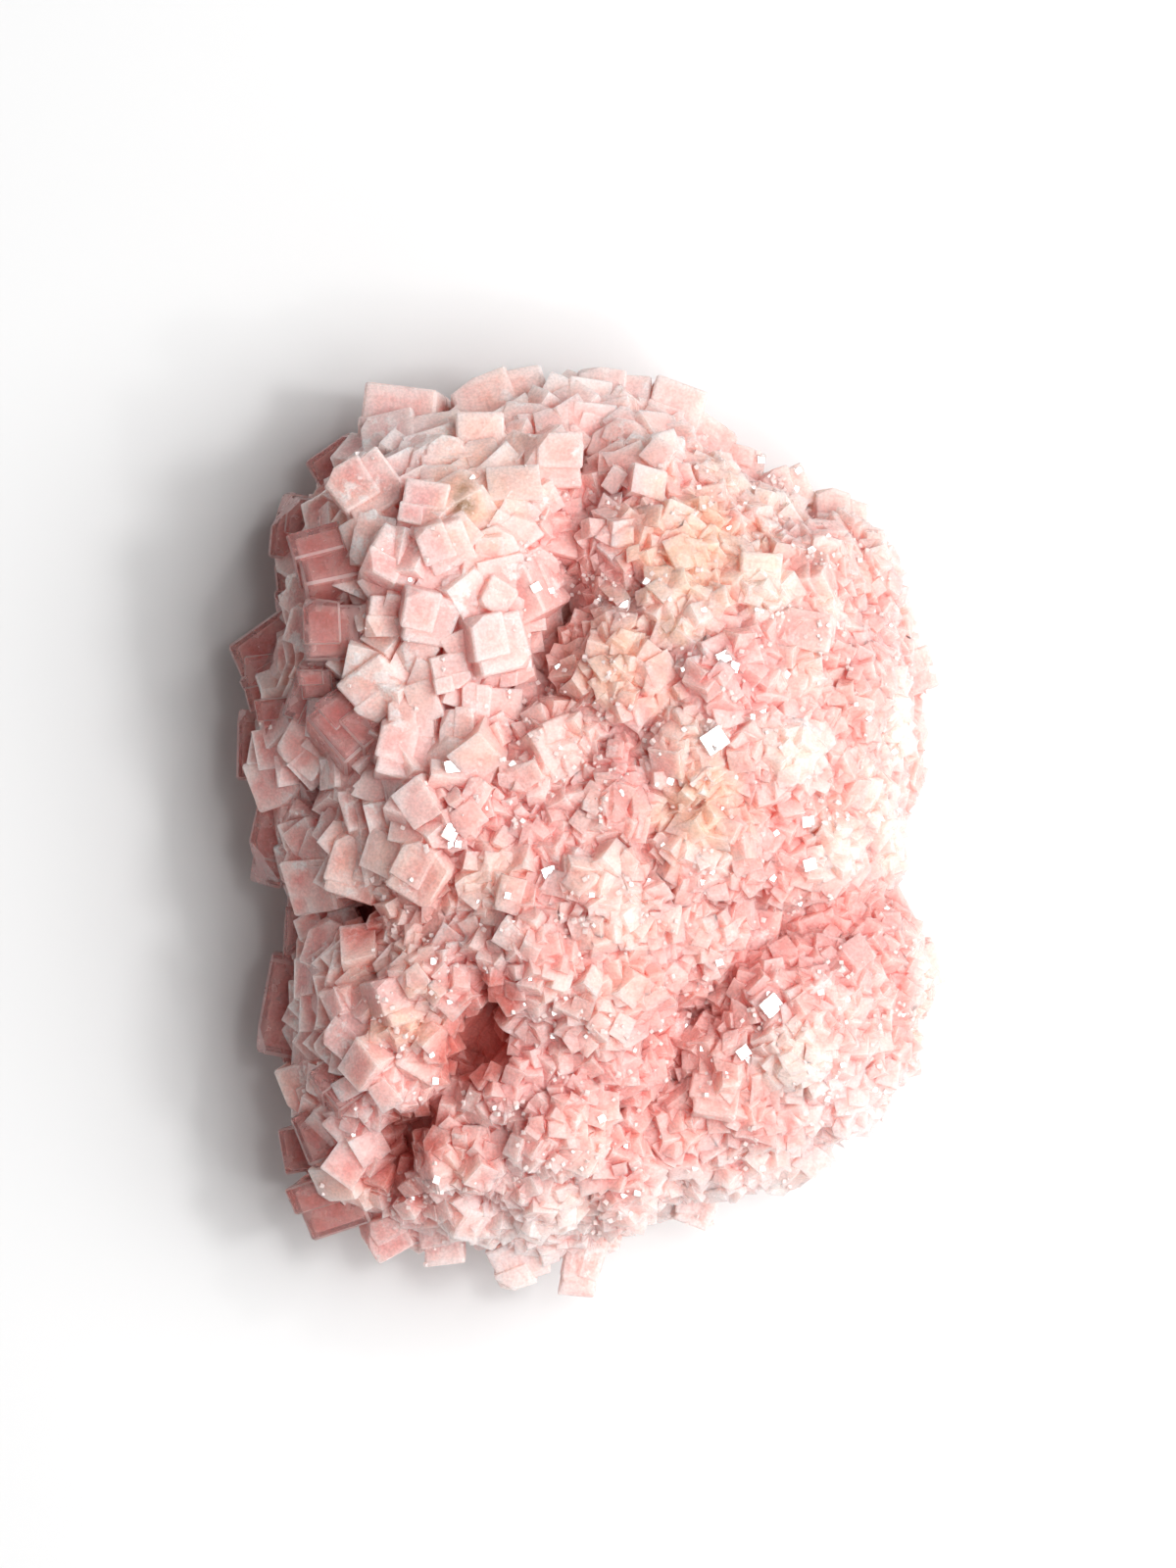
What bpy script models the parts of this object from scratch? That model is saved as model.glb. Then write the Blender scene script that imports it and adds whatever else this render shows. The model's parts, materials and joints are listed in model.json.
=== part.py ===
"""A cluster of pink halite: salt cubes grown into one mound, which lies on its flat underside.

Blender works in metres, +Z up. Sizes here are millimetres until they reach a mesh. The crystal-covered side
faces +Z, +Y is the long way of the specimen, and the origin is the middle of its bounding box, at the base.
"""
import math
import random
from typing import NamedTuple

import bmesh
import bpy
from mathutils import Matrix, Vector

MM = 0.001

# The mound under the crystals: its plan, its height and the level where it is widest.
RIM_RADII = (33.5, 36, 40.5, 44, 42, 44.5, 48.5, 47, 49.5, 44, 38, 36.5,
             33.5, 31.5, 36.5, 43, 49.5, 47, 45.5, 43, 44, 43.5, 41.5, 33.5)
RIM_STEP_DEG = 360 / len(RIM_RADII)
MOUND_TOP = 36.0
WIDEST_LEVEL = 13.0
FOOT_SHARE = 0.80
CUT_DEPTH = 2.0  # the mound is built this far below the plane that it is cut off at
ROUNDNESS = 2.4

# How finely the mound is meshed.
MOUND_SIDES = 32
FLANK_RINGS = 3
CROWN_RINGS = 8

# Crystals that fill the mound between the ones placed by hand.
LEFT_SIDE = 6.4
RIGHT_SIDE = 5.6
ZONE_EDGE = 4.0
ZONE_BLEND = 14.0
FLANK_SIDE = 7.0
FILL_SIZE_RANGE = (0.8, 1.2)
FILL_LEAN_RANGE = (8, 48)
FILL_OUT_RANGE = (0.05, 0.3)
FILL_SPACING = 1.14  # times the mean side of two neighbours
FILL_TRIES = 9000
FOOT_CLIMB = -0.4  # crystals are rooted from FILL_FROM_CLIMB, just over the foot, to 1 at the summit
FILL_FROM_CLIMB = -0.32
SEED = 3

# How much taller or lower than its side a crystal is.
HEIGHT_RANGE = (0.95, 1.2)

# A ledge is a second block, grown in line with the large crystal it stands on.
LEDGE_FROM_SIDE = 5.9
LEDGE_SHARE = 0.72
LEDGE_SHIFT = 0.27
LEDGE_RISE_RANGE = (0.3, 0.8)

# The middle of the finished cluster, before it is moved onto the origin.
CLUSTER_MIDDLE = (0.18, -0.58)
HALITE_PINK = (0.86, 0.55, 0.52, 1.0)


class Bump(NamedTuple):
    """A swelling of the mound, or a hollow where height is negative, that fades over reach."""
    x: float
    y: float
    reach: float
    height: float


class Groove(NamedTuple):
    """A valley along a straight line, from one point to another."""
    start: tuple
    end: tuple
    reach: float
    depth: float


class Crystal(NamedTuple):
    """A salt cube: where it stands, its side, and how far its middle is off the mound, in sides.

    wide stretches it along its own X. turn is about +Z, and lean tips it towards the compass way toward.
    """
    x: float
    y: float
    side: float
    turn: float
    lean: float
    toward: float
    wide: float = 1.0
    out: float = 0.22


BUMPS = (
    Bump(-19, 33, 14, 4.0), Bump(17, 33, 15, 5.0), Bump(22, 9, 15, 4.5), Bump(-13, -2, 10, 2.5),
    Bump(-3, -14, 11, 4.5), Bump(-21, -22, 7, 4.0), Bump(28, -27, 12, 4.0), Bump(-1, -39, 11, 3.5),
    Bump(-30, 1, 4.0, -7.0), Bump(-25, -11, 4.0, -6.0), Bump(-13.5, -25.5, 4.5, -9.0),
    Bump(-20.5, -35, 4.5, -7.0), Bump(-23, -42, 4.0, -3.5), Bump(-10, -18.5, 3.0, -5.0),
)
GROOVES = (
    Groove((0.5, 44), (-3, 24), 4.2, 7.0),
    Groove((-3, 24), (-7, 17), 4.6, 6.5),
    Groove((37, -9.5), (22, -10), 4.6, 7.0),
    Groove((22, -10), (11, -23), 4.4, 6.5),
    Groove((11, -23), (4, -33), 4.2, 5.5),
)

CRYSTALS = (
    # Upper left: the largest cubes, standing clear of one another.
    Crystal(-21.5, 45.6, 7.4, -8, 12, 150, out=0.3),
    Crystal(-28.0, 41.2, 5.9, 35, 20, 140),
    Crystal(-32.4, 34.6, 6.9, -8, 12, 180),
    Crystal(-33.0, 28.0, 5.6, 3, 5, 180, out=0.0),
    Crystal(-27.3, 29.1, 6.8, 15, 30, 100, out=0.35),
    Crystal(-27.1, 22.6, 6.0, -3, 6, 200, out=0.4),
    Crystal(-33.7, 19.6, 7.8, 30, 25, 170),
    Crystal(-36.0, 17.4, 5.8, 10, 15, 180),
    Crystal(-29.9, 15.4, 6.0, -22, 15, 250),
    Crystal(-28.5, 16.7, 3.2, 3, 8, 270, out=1.1),
    Crystal(-23.5, 16.8, 5.6, 40, 18, 240),
    Crystal(-18.5, 35.9, 4.8, -12, 10, 90, out=0.35),
    Crystal(-17.6, 41.2, 4.9, -15, 15, 60),
    Crystal(-12.3, 42.9, 5.3, 0, 8, 90, out=0.45),
    Crystal(-5.3, 40.9, 5.7, 2, 6, 0, wide=0.95, out=0.4),
    Crystal(-9.6, 48.0, 6.6, 17, 24, 90, wide=1.45),
    Crystal(-9.4, 37.4, 3.4, 5, 15, 30),
    Crystal(-23.8, 37.4, 6.6, 35, 20, 120),
    Crystal(-21.7, 30.2, 5.2, -25, 18, 60),
    Crystal(-16.4, 32.4, 5.0, 20, 15, 300),
    Crystal(-8.4, 27.0, 6.2, 28, 25, 200),
    Crystal(-22.6, 24.4, 4.2, -5, 10, 0),
    Crystal(-18.1, 24.4, 5.4, -12, 15, 300),
    Crystal(-14.7, 26.6, 3.4, 5, 10, 90),
    Crystal(-11.9, 21.4, 6.0, 12, 18, 0, out=0.3),
    Crystal(-10.4, 19.2, 3.6, 6, 5, 270, out=0.8),
    Crystal(-16.0, 17.9, 3.8, 10, 10, 20, out=0.4),
    Crystal(-19.6, 16.6, 3.2, 40, 30, 100),
    Crystal(-13.5, 13.4, 2.9, 85, 8, 0, wide=1.7, out=0.5),
    Crystal(2.2, 38.2, 4.6, -20, 15, 0),
    Crystal(-3.1, 34.2, 5.4, 10, 20, 270),
    Crystal(-3.8, 28.6, 6.0, -30, 30, 270),
    # Left edge: blocks in the shade of the mound, seen past each other.
    Crystal(-26.5, 11.0, 6.8, 40, 20, 90),
    Crystal(-19.8, 12.0, 4.4, 5, 10, 90),
    Crystal(-20.6, 7.6, 5.8, -15, 15, 60),
    Crystal(-36.6, 9.4, 5.8, 88, 10, 180, wide=1.3),
    Crystal(-33.4, 12.6, 4.8, 10, 20, 200),
    Crystal(-35.0, -1.7, 6.8, 80, 8, 180, wide=1.25, out=0.1),
    Crystal(-31.6, 6.2, 3.2, 88, 10, 180, wide=1.8),
    Crystal(-31.2, -11.0, 4.2, 86, 12, 270, wide=1.8, out=0.5),
    Crystal(-25.0, -4.4, 6.0, 75, 15, 180),
    Crystal(-25.2, 1.6, 4.4, 15, 15, 90),
    Crystal(-18.6, 1.6, 5.2, -30, 30, 100),
    Crystal(-17.7, -5.1, 6.2, -32, 20, 200),
    Crystal(-8.7, 5.9, 3.2, 0, 5, 0, out=0.5),
    Crystal(-4.2, 7.9, 6.2, 25, 30, 20),
    # Lower left: a rough pale lump between the pits, and slabs along the edge.
    Crystal(-21.8, -19.8, 7.2, 20, 20, 0),
    Crystal(-20.0, -26.6, 6.6, -25, 25, 40),
    Crystal(-25.6, -23.8, 5.0, 50, 15, 180),
    Crystal(-33.6, -21.6, 7.4, 80, 10, 180, wide=1.4, out=0.1),
    Crystal(-31.8, -19.8, 3.6, 15, 10, 0, out=0.8),
    Crystal(-31.6, -26.6, 3.4, 5, 5, 0, out=0.7),
    Crystal(-22.6, -13.6, 3.6, -5, 12, 90),
    Crystal(-18.9, -13.4, 3.8, 0, 10, 45),
    Crystal(-28.6, -35.4, 6.2, 25, 25, 150),
    Crystal(-32.6, -37.6, 5.0, 10, 20, 190),
    Crystal(-29.4, -43.6, 6.6, 20, 15, 230),
    Crystal(-27.0, -29.9, 5.4, 35, 20, 90),
    Crystal(-15.6, -38.4, 5.8, 15, 15, 0),
    Crystal(-23.4, -47.4, 5.0, 30, 20, 250),
    Crystal(-16.9, -48.8, 4.4, 5, 10, 270),
    Crystal(-8.2, -50.0, 5.8, 25, 20, 270),
    Crystal(0.3, -50.6, 4.4, 75, 10, 270, wide=1.7),
    Crystal(-11.5, -31.4, 3.4, 12, 15, 0),
    # Top edge and upper right: broad worn blocks above the fine crust.
    Crystal(3.4, 49.2, 6.4, -6, 25, 90, wide=1.3),
    Crystal(10.0, 48.6, 5.4, -18, 15, 60),
    Crystal(5.6, 42.2, 7.8, -18, 20, 100, out=0.3),
    Crystal(15.4, 43.6, 8.0, -35, 25, 60),
    Crystal(23.0, 39.0, 6.2, 20, 20, 45),
    Crystal(19.2, 28.3, 5.9, -4, 5, 0, out=0.45),
    Crystal(25.1, 27.6, 5.2, 20, 35, 270),
    Crystal(20.4, 34.4, 3.9, -2, 10, 90),
    Crystal(28.8, 34.8, 6.2, -10, 25, 45),
    Crystal(8.5, 27.3, 4.0, 0, 20, 90),
    Crystal(13.0, 37.0, 4.0, 10, 12, 0),
    Crystal(23.8, 22.0, 4.6, -10, 15, 90, wide=1.6),
    Crystal(15.0, 19.2, 4.6, 25, 30, 30),
    Crystal(37.6, 17.8, 5.0, 25, 20, 10),
    # Right and lower right: smaller cubes, and the smooth slab in the notch.
    Crystal(14.1, 9.9, 3.2, 33, 20, 60, wide=1.3, out=0.45),
    Crystal(18.2, -10.4, 5.2, -10, 15, 270, out=0.3),
    Crystal(26.6, -12.4, 4.4, 20, 15, 300),
    Crystal(33.2, -8.6, 7.0, -62, 15, 0, wide=1.5, out=-0.1),
    Crystal(38.6, -16.6, 5.0, 20, 15, 350),
    Crystal(20.8, -20.5, 3.2, 40, 10, 0, out=0.4),
    Crystal(15.1, -31.0, 6.4, -10, 15, 90, out=0.3),
    Crystal(17.7, -25.2, 3.0, 5, 12, 120, out=0.4),
    Crystal(12.7, -44.6, 5.2, -15, 10, 270),
    Crystal(32.4, -32.8, 4.8, 30, 15, 300),
    Crystal(36.6, -27.6, 4.2, 15, 10, 320),
)


def turned(heading_deg):
    """The unit vector that points along a compass heading, counted from +X towards +Y."""
    heading = math.radians(heading_deg)
    return Vector((math.cos(heading), math.sin(heading), 0))


def heading_of(x, y):
    return math.degrees(math.atan2(y, x)) % 360


def rim_radius(heading_deg):
    """The mound's widest radius along a heading, on a smooth closed curve through RIM_RADII."""
    count = len(RIM_RADII)
    place = heading_deg / RIM_STEP_DEG
    i, t = int(place) % count, place - int(place)
    a, b, c, d = (RIM_RADII[(i + k) % count] for k in (-1, 0, 1, 2))
    return b + t * (c - a + t * (2 * a - 5 * b + 4 * c - d + t * (3 * (b - c) + d - a))) / 2


def smooth_step(share):
    share = min(1.0, max(0.0, share))
    return share * share * (3 - 2 * share)


def groove_depth(groove, x, y):
    start, end = Vector(groove.start), Vector(groove.end)
    along = end - start
    share = min(1.0, max(0.0, (Vector((x, y)) - start).dot(along) / along.length_squared))
    apart = (Vector((x, y)) - start - share * along).length
    return groove.depth * math.exp(-(apart / groove.reach) ** 2)


def relief(x, y):
    """The height that the swellings, hollows and grooves add to the smooth mound."""
    swell = sum(b.height * math.exp(-((x - b.x) ** 2 + (y - b.y) ** 2) / b.reach ** 2) for b in BUMPS)
    return swell - sum(groove_depth(g, x, y) for g in GROOVES)


def crown_height(x, y):
    """The height of the mound's upper surface over a point, or its widest level beyond the rim."""
    share = math.hypot(x, y) / rim_radius(heading_of(x, y))
    if share >= 1:
        return WIDEST_LEVEL
    rise = (1 - share ** ROUNDNESS) ** (1 / ROUNDNESS)
    return WIDEST_LEVEL + (MOUND_TOP - WIDEST_LEVEL) * rise + relief(x, y) * smooth_step(2 * rise - 0.4)


def crown_normal(x, y, reach=1.5):
    slope_x = (crown_height(x + reach, y) - crown_height(x - reach, y)) / (2 * reach)
    slope_y = (crown_height(x, y + reach) - crown_height(x, y - reach)) / (2 * reach)
    return Vector((-slope_x, -slope_y, 1)).normalized()


def flank_share(level):
    """How wide the mound is at a level under its widest one, as a share of the rim."""
    return 1 - (1 - FOOT_SHARE) * (1 - level / WIDEST_LEVEL) ** 2


def flank_point(heading_deg, level):
    return turned(heading_deg) * rim_radius(heading_deg) * flank_share(level) + Vector((0, 0, level))


def crown_point(heading_deg, climb):
    """A point of the crown: climb runs from 0 on the rim to 1 at the summit."""
    share = math.cos(math.pi / 2 * climb) ** (2 / ROUNDNESS)
    x, y, _ = turned(heading_deg) * rim_radius(heading_deg) * share
    return Vector((x, y, crown_height(x, y)))


def mound_rings():
    """The mound's cross-sections from the foot up, each a list of points."""
    headings = [360 * i / MOUND_SIDES for i in range(MOUND_SIDES)]
    levels = [-CUT_DEPTH + (WIDEST_LEVEL + CUT_DEPTH) * i / FLANK_RINGS for i in range(FLANK_RINGS)]
    climbs = [i / CROWN_RINGS for i in range(CROWN_RINGS)]
    flank = [[flank_point(h, level) for h in headings] for level in levels]
    return flank + [[crown_point(h, climb) for h in headings] for climb in climbs]


def make_object(name, bm):
    """Turns a bmesh in millimetres into an object in metres."""
    bmesh.ops.transform(bm, matrix=Matrix.Scale(MM, 4), verts=bm.verts)
    bmesh.ops.recalc_face_normals(bm, faces=bm.faces)
    mesh = bpy.data.meshes.new(name)
    bm.to_mesh(mesh)
    bm.free()
    made = bpy.data.objects.new(name, mesh)
    bpy.context.scene.collection.objects.link(made)
    return made


def make_mound(name):
    bm = bmesh.new()
    rings = [[bm.verts.new(p) for p in ring] for ring in mound_rings()]
    for low, high in zip(rings, rings[1:]):
        for i in range(MOUND_SIDES):
            j = (i + 1) % MOUND_SIDES
            bm.faces.new((low[i], low[j], high[j], high[i]))
    summit = bm.verts.new((0, 0, crown_height(0, 0)))
    for i in range(MOUND_SIDES):
        bm.faces.new((rings[-1][i], rings[-1][(i + 1) % MOUND_SIDES], summit))
    bm.faces.new(reversed(rings[0]))
    return make_object(name, bm)


def usual_side(x):
    """The side of a filling crystal: coarse cubes on the left give way to a finer crust on the right."""
    return LEFT_SIDE + (RIGHT_SIDE - LEFT_SIDE) * smooth_step((x + ZONE_EDGE) / ZONE_BLEND)


def stand_on_crown(crystal):
    """Where a crystal of the crown is rooted, with the mound's outward direction there."""
    foot = Vector((crystal.x, crystal.y, crown_height(crystal.x, crystal.y)))
    return foot, crown_normal(crystal.x, crystal.y)


def random_root(rng):
    """A place on the mound, its outward direction, and the usual size of the crystals there."""
    heading, climb = rng.uniform(0, 360), rng.uniform(FILL_FROM_CLIMB, 1)
    if climb > 0:
        root = crown_point(heading, climb)
        return root, crown_normal(root.x, root.y), usual_side(root.x)
    root = flank_point(heading, WIDEST_LEVEL * (1 - climb / FOOT_CLIMB))
    return root, turned(heading), FLANK_SIDE


def fill_crystals(rng):
    """Crystals scattered all over the mound, each clear of the roots of those already there."""
    rooted = [(stand_on_crown(c)[0], c.side) for c in CRYSTALS]
    made = []
    for _ in range(FILL_TRIES):
        root, outward, side = random_root(rng)
        side *= rng.uniform(*FILL_SIZE_RANGE)
        if all((root - other).length > FILL_SPACING * (side + near) / 2 for other, near in rooted):
            rooted.append((root, side))
            crystal = Crystal(root.x, root.y, side, rng.uniform(0, 90), rng.uniform(*FILL_LEAN_RANGE),
                              rng.uniform(0, 360), out=rng.uniform(*FILL_OUT_RANGE))
            made.append((crystal, root, outward))
    return made


def block_frame(middle, turn, lean, toward):
    """The matrix that stands a block at a point, turned about +Z and then tipped."""
    tip = Matrix.Rotation(math.radians(lean), 4, turned(toward + 90))
    return Matrix.Translation(middle) @ tip @ Matrix.Rotation(math.radians(turn), 4, "Z")


def add_block(bm, frame, size):
    bmesh.ops.create_cube(bm, size=1, matrix=frame @ Matrix.Diagonal((*size, 1)))


def add_crystal(bm, crystal, root, outward, rng):
    """Adds the crystal's block, and returns the frame it stands in and its size along each axis."""
    middle = root + outward * crystal.side * crystal.out
    frame = block_frame(middle, crystal.turn, crystal.lean, crystal.toward)
    size = Vector((crystal.side * crystal.wide, crystal.side, crystal.side * rng.uniform(*HEIGHT_RANGE)))
    add_block(bm, frame, size)
    return frame, size


def add_ledge(bm, frame, size, rng):
    rise = rng.uniform(*LEDGE_RISE_RANGE)
    shift = Vector((rng.choice((-1, 1)), rng.choice((-1, 1)), rise)) * LEDGE_SHIFT
    step = Matrix.Translation(Vector(a * b for a, b in zip(shift, size)))
    add_block(bm, frame @ step, size * LEDGE_SHARE)


def make_crystals(name):
    """Every crystal as its own closed block, in one helper object that a Boolean joins to the mound."""
    rng = random.Random(SEED)
    bm = bmesh.new()
    filling = fill_crystals(rng)
    for crystal in CRYSTALS:
        frame, size = add_crystal(bm, crystal, *stand_on_crown(crystal), rng)
        if crystal.side >= LEDGE_FROM_SIDE:
            add_ledge(bm, frame, size, rng)
    for crystal, root, outward in filling:
        add_crystal(bm, crystal, root, outward, rng)
    return make_object(name, bm)


def make_ground_cutter(name, reach=80.0, depth=20.0):
    """A slab under the base plane, which cuts the cluster off flat where it rests."""
    bm = bmesh.new()
    bmesh.ops.create_cube(bm, size=1, matrix=Matrix.Translation((0, 0, -depth / 2))
                          @ Matrix.Diagonal((2 * reach, 2 * reach, depth, 1)))
    return make_object(name, bm)


def combine(target, helper, operation):
    """Joins a helper to the target, or cuts it away, and drops the helper."""
    boolean = target.modifiers.new(operation.title(), "BOOLEAN")
    boolean.operation = operation
    boolean.solver = "EXACT"
    boolean.use_self = True
    boolean.object = helper
    graph = bpy.context.evaluated_depsgraph_get()
    result = bpy.data.meshes.new_from_object(target.evaluated_get(graph))
    target.modifiers.clear()
    target.data = result
    bpy.data.objects.remove(helper)


def islands(bm):
    """The vertices of each connected shell, largest reach first."""
    left = set(bm.verts)
    found = []
    while left:
        shell, edge = set(), [left.pop()]
        while edge:
            vert = edge.pop()
            shell.add(vert)
            near = {e.other_vert(vert) for e in vert.link_edges} & left
            left -= near
            edge.extend(near)
        found.append(shell)
    return sorted(found, key=len, reverse=True)


def keep_outer_shell(target):
    """Fills the pockets sealed between crowded crystals, by dropping the shells they leave inside."""
    bm = bmesh.new()
    bm.from_mesh(target.data)
    inner = [v for shell in islands(bm)[1:] for v in shell]
    bmesh.ops.delete(bm, geom=inner, context="VERTS")
    bmesh.ops.triangulate(bm, faces=bm.faces)
    bm.to_mesh(target.data)
    bm.free()


def centre_on_base(target):
    middle = Vector((*CLUSTER_MIDDLE, 0)) * MM
    target.data.transform(Matrix.Translation(-middle))


def halite_material():
    material = bpy.data.materials.new("halite_pink")
    material.use_nodes = True
    shader = material.node_tree.nodes["Principled BSDF"]
    shader.inputs["Base Color"].default_value = HALITE_PINK
    shader.inputs["Roughness"].default_value = 0.35
    shader.inputs["Metallic"].default_value = 0.0
    shader.inputs["IOR"].default_value = 1.544
    return material


def clear_scene():
    for old in list(bpy.data.objects):
        bpy.data.objects.remove(old)


def main():
    clear_scene()
    cluster = make_mound("halite_cluster")
    combine(cluster, make_crystals("crystals"), "UNION")
    combine(cluster, make_ground_cutter("ground"), "DIFFERENCE")
    keep_outer_shell(cluster)
    centre_on_base(cluster)
    cluster.data.materials.clear()
    cluster.data.materials.append(halite_material())


main()
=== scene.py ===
import json
import math
import random

import bmesh
import bpy
import numpy as np
from mathutils import Euler, Matrix, Vector, noise
from mathutils.bvhtree import BVHTree

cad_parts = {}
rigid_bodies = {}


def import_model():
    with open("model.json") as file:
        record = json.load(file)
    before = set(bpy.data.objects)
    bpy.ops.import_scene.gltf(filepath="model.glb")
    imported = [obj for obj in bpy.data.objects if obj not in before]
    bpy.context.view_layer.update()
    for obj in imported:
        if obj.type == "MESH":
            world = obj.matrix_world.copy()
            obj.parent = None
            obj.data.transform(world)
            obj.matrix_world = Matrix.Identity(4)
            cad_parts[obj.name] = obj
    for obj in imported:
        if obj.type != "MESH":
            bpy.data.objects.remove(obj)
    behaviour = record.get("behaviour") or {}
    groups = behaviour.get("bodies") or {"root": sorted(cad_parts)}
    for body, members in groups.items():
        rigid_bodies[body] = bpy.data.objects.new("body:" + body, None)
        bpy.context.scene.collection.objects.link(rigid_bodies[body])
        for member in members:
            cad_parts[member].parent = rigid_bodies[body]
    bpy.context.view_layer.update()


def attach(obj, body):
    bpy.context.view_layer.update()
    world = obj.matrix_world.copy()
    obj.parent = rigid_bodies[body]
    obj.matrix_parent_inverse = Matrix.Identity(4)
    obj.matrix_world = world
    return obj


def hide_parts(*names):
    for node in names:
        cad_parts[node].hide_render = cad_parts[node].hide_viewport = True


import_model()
mm = 0.001
noise.seed_set(4)  # noise_vector is seeded by the clock otherwise
octaves = (0.6, 2.0, 3)  # of every fractal noise: how fast they fade, how much finer each is, how many


# ---- the mound under the crystals, in millimetres, before it is moved onto its middle

mound = {
    "rimRadii": (33.5, 36, 40.5, 44, 42, 44.5, 48.5, 47, 49.5, 44, 38, 36.5,
                 33.5, 31.5, 36.5, 43, 49.5, 47, 45.5, 43, 44, 43.5, 41.5, 33.5),
    "top": 36.0,
    "widestLevel": 13.0,
    "footShare": 0.80,
    "cutDepth": 2.0,  # built this far below the plane that it is cut off at
    "roundness": 2.4,
    "rimFade": (2.0, 0.4),  # how fast and how far from the rim the swellings and valleys set in
    "middle": (0.18, -0.58),
    "sides": 150,
    "flankRings": 8,
    "crownRings": 42,
    "roughness": 0.55,  # how far the surface between the cubes is knocked in and out
    "roughSize": 3.2,
    "leftLift": 0.9,  # the crust's floor stands this much higher than the plain mound
    "rightLift": 2.9,
    "zoneEdge": ((18.0, -8.0), (-10.0, -27.0)),  # y, x: left of this line the cubes are coarse
    "zoneBlend": 11.0,
    "zoneShift": 0.4,
    "browLevel": 41.0,  # and above this level they are coarse again
    "browBlend": 6.0,
    "browSlant": 0.08,
    "lumpSize": 11.0,  # in the fine zone the crust gathers into rounded lumps
    "lumpRise": 2.6,
    "lumpMiddle": 0.7,
    "creaseWidth": 0.42,
    "valleyFull": 6.0,  # a valley this deep has its full painted shade
    "pitFrom": 2.4,  # a hollow deeper than this is a hole
    "pitBlend": 2.4,
    "pitSink": 2.4,
    "ceiling": 80.0,  # above everything
}

# Swellings and hollows of the mound: x, y, reach, height.
bumps = (
    (-19, 33, 14, 4.0), (17, 33, 15, 5.0), (22, 9, 15, 4.5), (-13, -2, 10, 2.5),
    (-3, -14, 11, 4.5), (-21, -22, 7, 4.0), (28, -27, 12, 4.0), (-1, -39, 11, 3.5),
    (-30.5, 4.5, 4.4, -6.0), (-26, -10.5, 4.4, -6.0), (-13.2, -25.3, 5.0, -8.0),
    (-20.5, -35, 4.4, -7.0), (-23, -42, 4.0, -3.5), (-9.8, -18.5, 3.2, -6.0),
)

# Valleys along straight lines: start, end, reach, depth.
grooves = (
    ((0.5, 44), (-3, 24), 4.2, 7.0),
    ((-3, 24), (-6, 16), 5.2, 8.5),
    ((37, -9.5), (22, -10), 4.6, 7.0),
    ((22, -10), (11, -23), 4.4, 6.5),
    ((11, -23), (4, -33), 4.2, 5.5),
)


def smoothStep(share):
    share = min(1.0, max(0.0, share))
    return share * share * (3 - 2 * share)


def turned(headingDeg):  # the unit vector along a compass heading, counted from +X towards +Y
    heading = math.radians(headingDeg)
    return Vector((math.cos(heading), math.sin(heading), 0))


def rimRadius(headingDeg):  # a smooth closed curve through the rim's radii
    radii = mound["rimRadii"]
    place = (headingDeg % 360) / (360 / len(radii))
    i, t = int(place) % len(radii), place - int(place)
    a, b, c, d = (radii[(i + k) % len(radii)] for k in (-1, 0, 1, 2))
    return b + t * (c - a + t * (2 * a - 5 * b + 4 * c - d + t * (3 * (b - c) + d - a))) / 2


def fineShare(x, y):  # 0 in the coarse left zone, 1 in the fine zone
    (highY, highX), (lowY, lowX) = mound["zoneEdge"]
    edge = lowX + (highX - lowX) * min(1.0, max(0.0, (y - lowY) / (highY - lowY)))
    brow = smoothStep((mound["browLevel"] - y) / mound["browBlend"] + mound["browSlant"] * max(0.0, x))
    return smoothStep((x - edge) / mound["zoneBlend"] + mound["zoneShift"]) * brow


def swelling(bump, x, y):
    middleX, middleY, reach, height = bump
    return height * math.exp(-((x - middleX) ** 2 + (y - middleY) ** 2) / reach ** 2)


def hollowDepth(x, y):
    return -sum(swelling(bump, x, y) for bump in bumps if bump[3] < 0)


def pitShare(x, y):  # 1 in the deep holes, which stay open between the crystals
    return smoothStep((hollowDepth(x, y) - mound["pitFrom"]) / mound["pitBlend"])


def crestShare(place):  # 1 on the rounded lumps of the crust, 0 in the creases between them
    nearest, second = noise.voronoi(place / mound["lumpSize"])[0][:2]
    return smoothStep((second - nearest) / mound["creaseWidth"])


def grooveDepth(groove, x, y):
    start, end, reach, depth = Vector(groove[0]), Vector(groove[1]), groove[2], groove[3]
    along = end - start
    share = min(1.0, max(0.0, (Vector((x, y)) - start).dot(along) / along.length_squared))
    apart = (Vector((x, y)) - start - share * along).length
    return depth * math.exp(-(apart / reach) ** 2)


def valleyDepth(x, y):
    return sum(grooveDepth(groove, x, y) for groove in grooves)


def relief(x, y):
    return sum(swelling(bump, x, y) for bump in bumps) - valleyDepth(x, y)


def crownHeight(x, y):
    level, top, n = mound["widestLevel"], mound["top"], mound["roundness"]
    share = math.hypot(x, y) / rimRadius(math.degrees(math.atan2(y, x)))
    if share >= 1:
        return level
    rise = (1 - share ** n) ** (1 / n)
    gain, start = mound["rimFade"]
    return level + (top - level) * rise + relief(x, y) * smoothStep(gain * rise - start)


def crownNormal(x, y, reach=1.5):
    slopeX = (crownHeight(x + reach, y) - crownHeight(x - reach, y)) / (2 * reach)
    slopeY = (crownHeight(x, y + reach) - crownHeight(x, y - reach)) / (2 * reach)
    return Vector((-slopeX, -slopeY, 1)).normalized()


def flankPoint(headingDeg, level):
    inward = (1 - mound["footShare"]) * (1 - level / mound["widestLevel"]) ** 2
    return turned(headingDeg) * rimRadius(headingDeg) * (1 - inward) + Vector((0, 0, level))


def crownPoint(headingDeg, climb):  # climb runs from 0 on the rim to 1 at the summit
    share = math.cos(math.pi / 2 * climb) ** (2 / mound["roundness"])
    x, y, _ = turned(headingDeg) * rimRadius(headingDeg) * share
    return Vector((x, y, crownHeight(x, y)))


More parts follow.
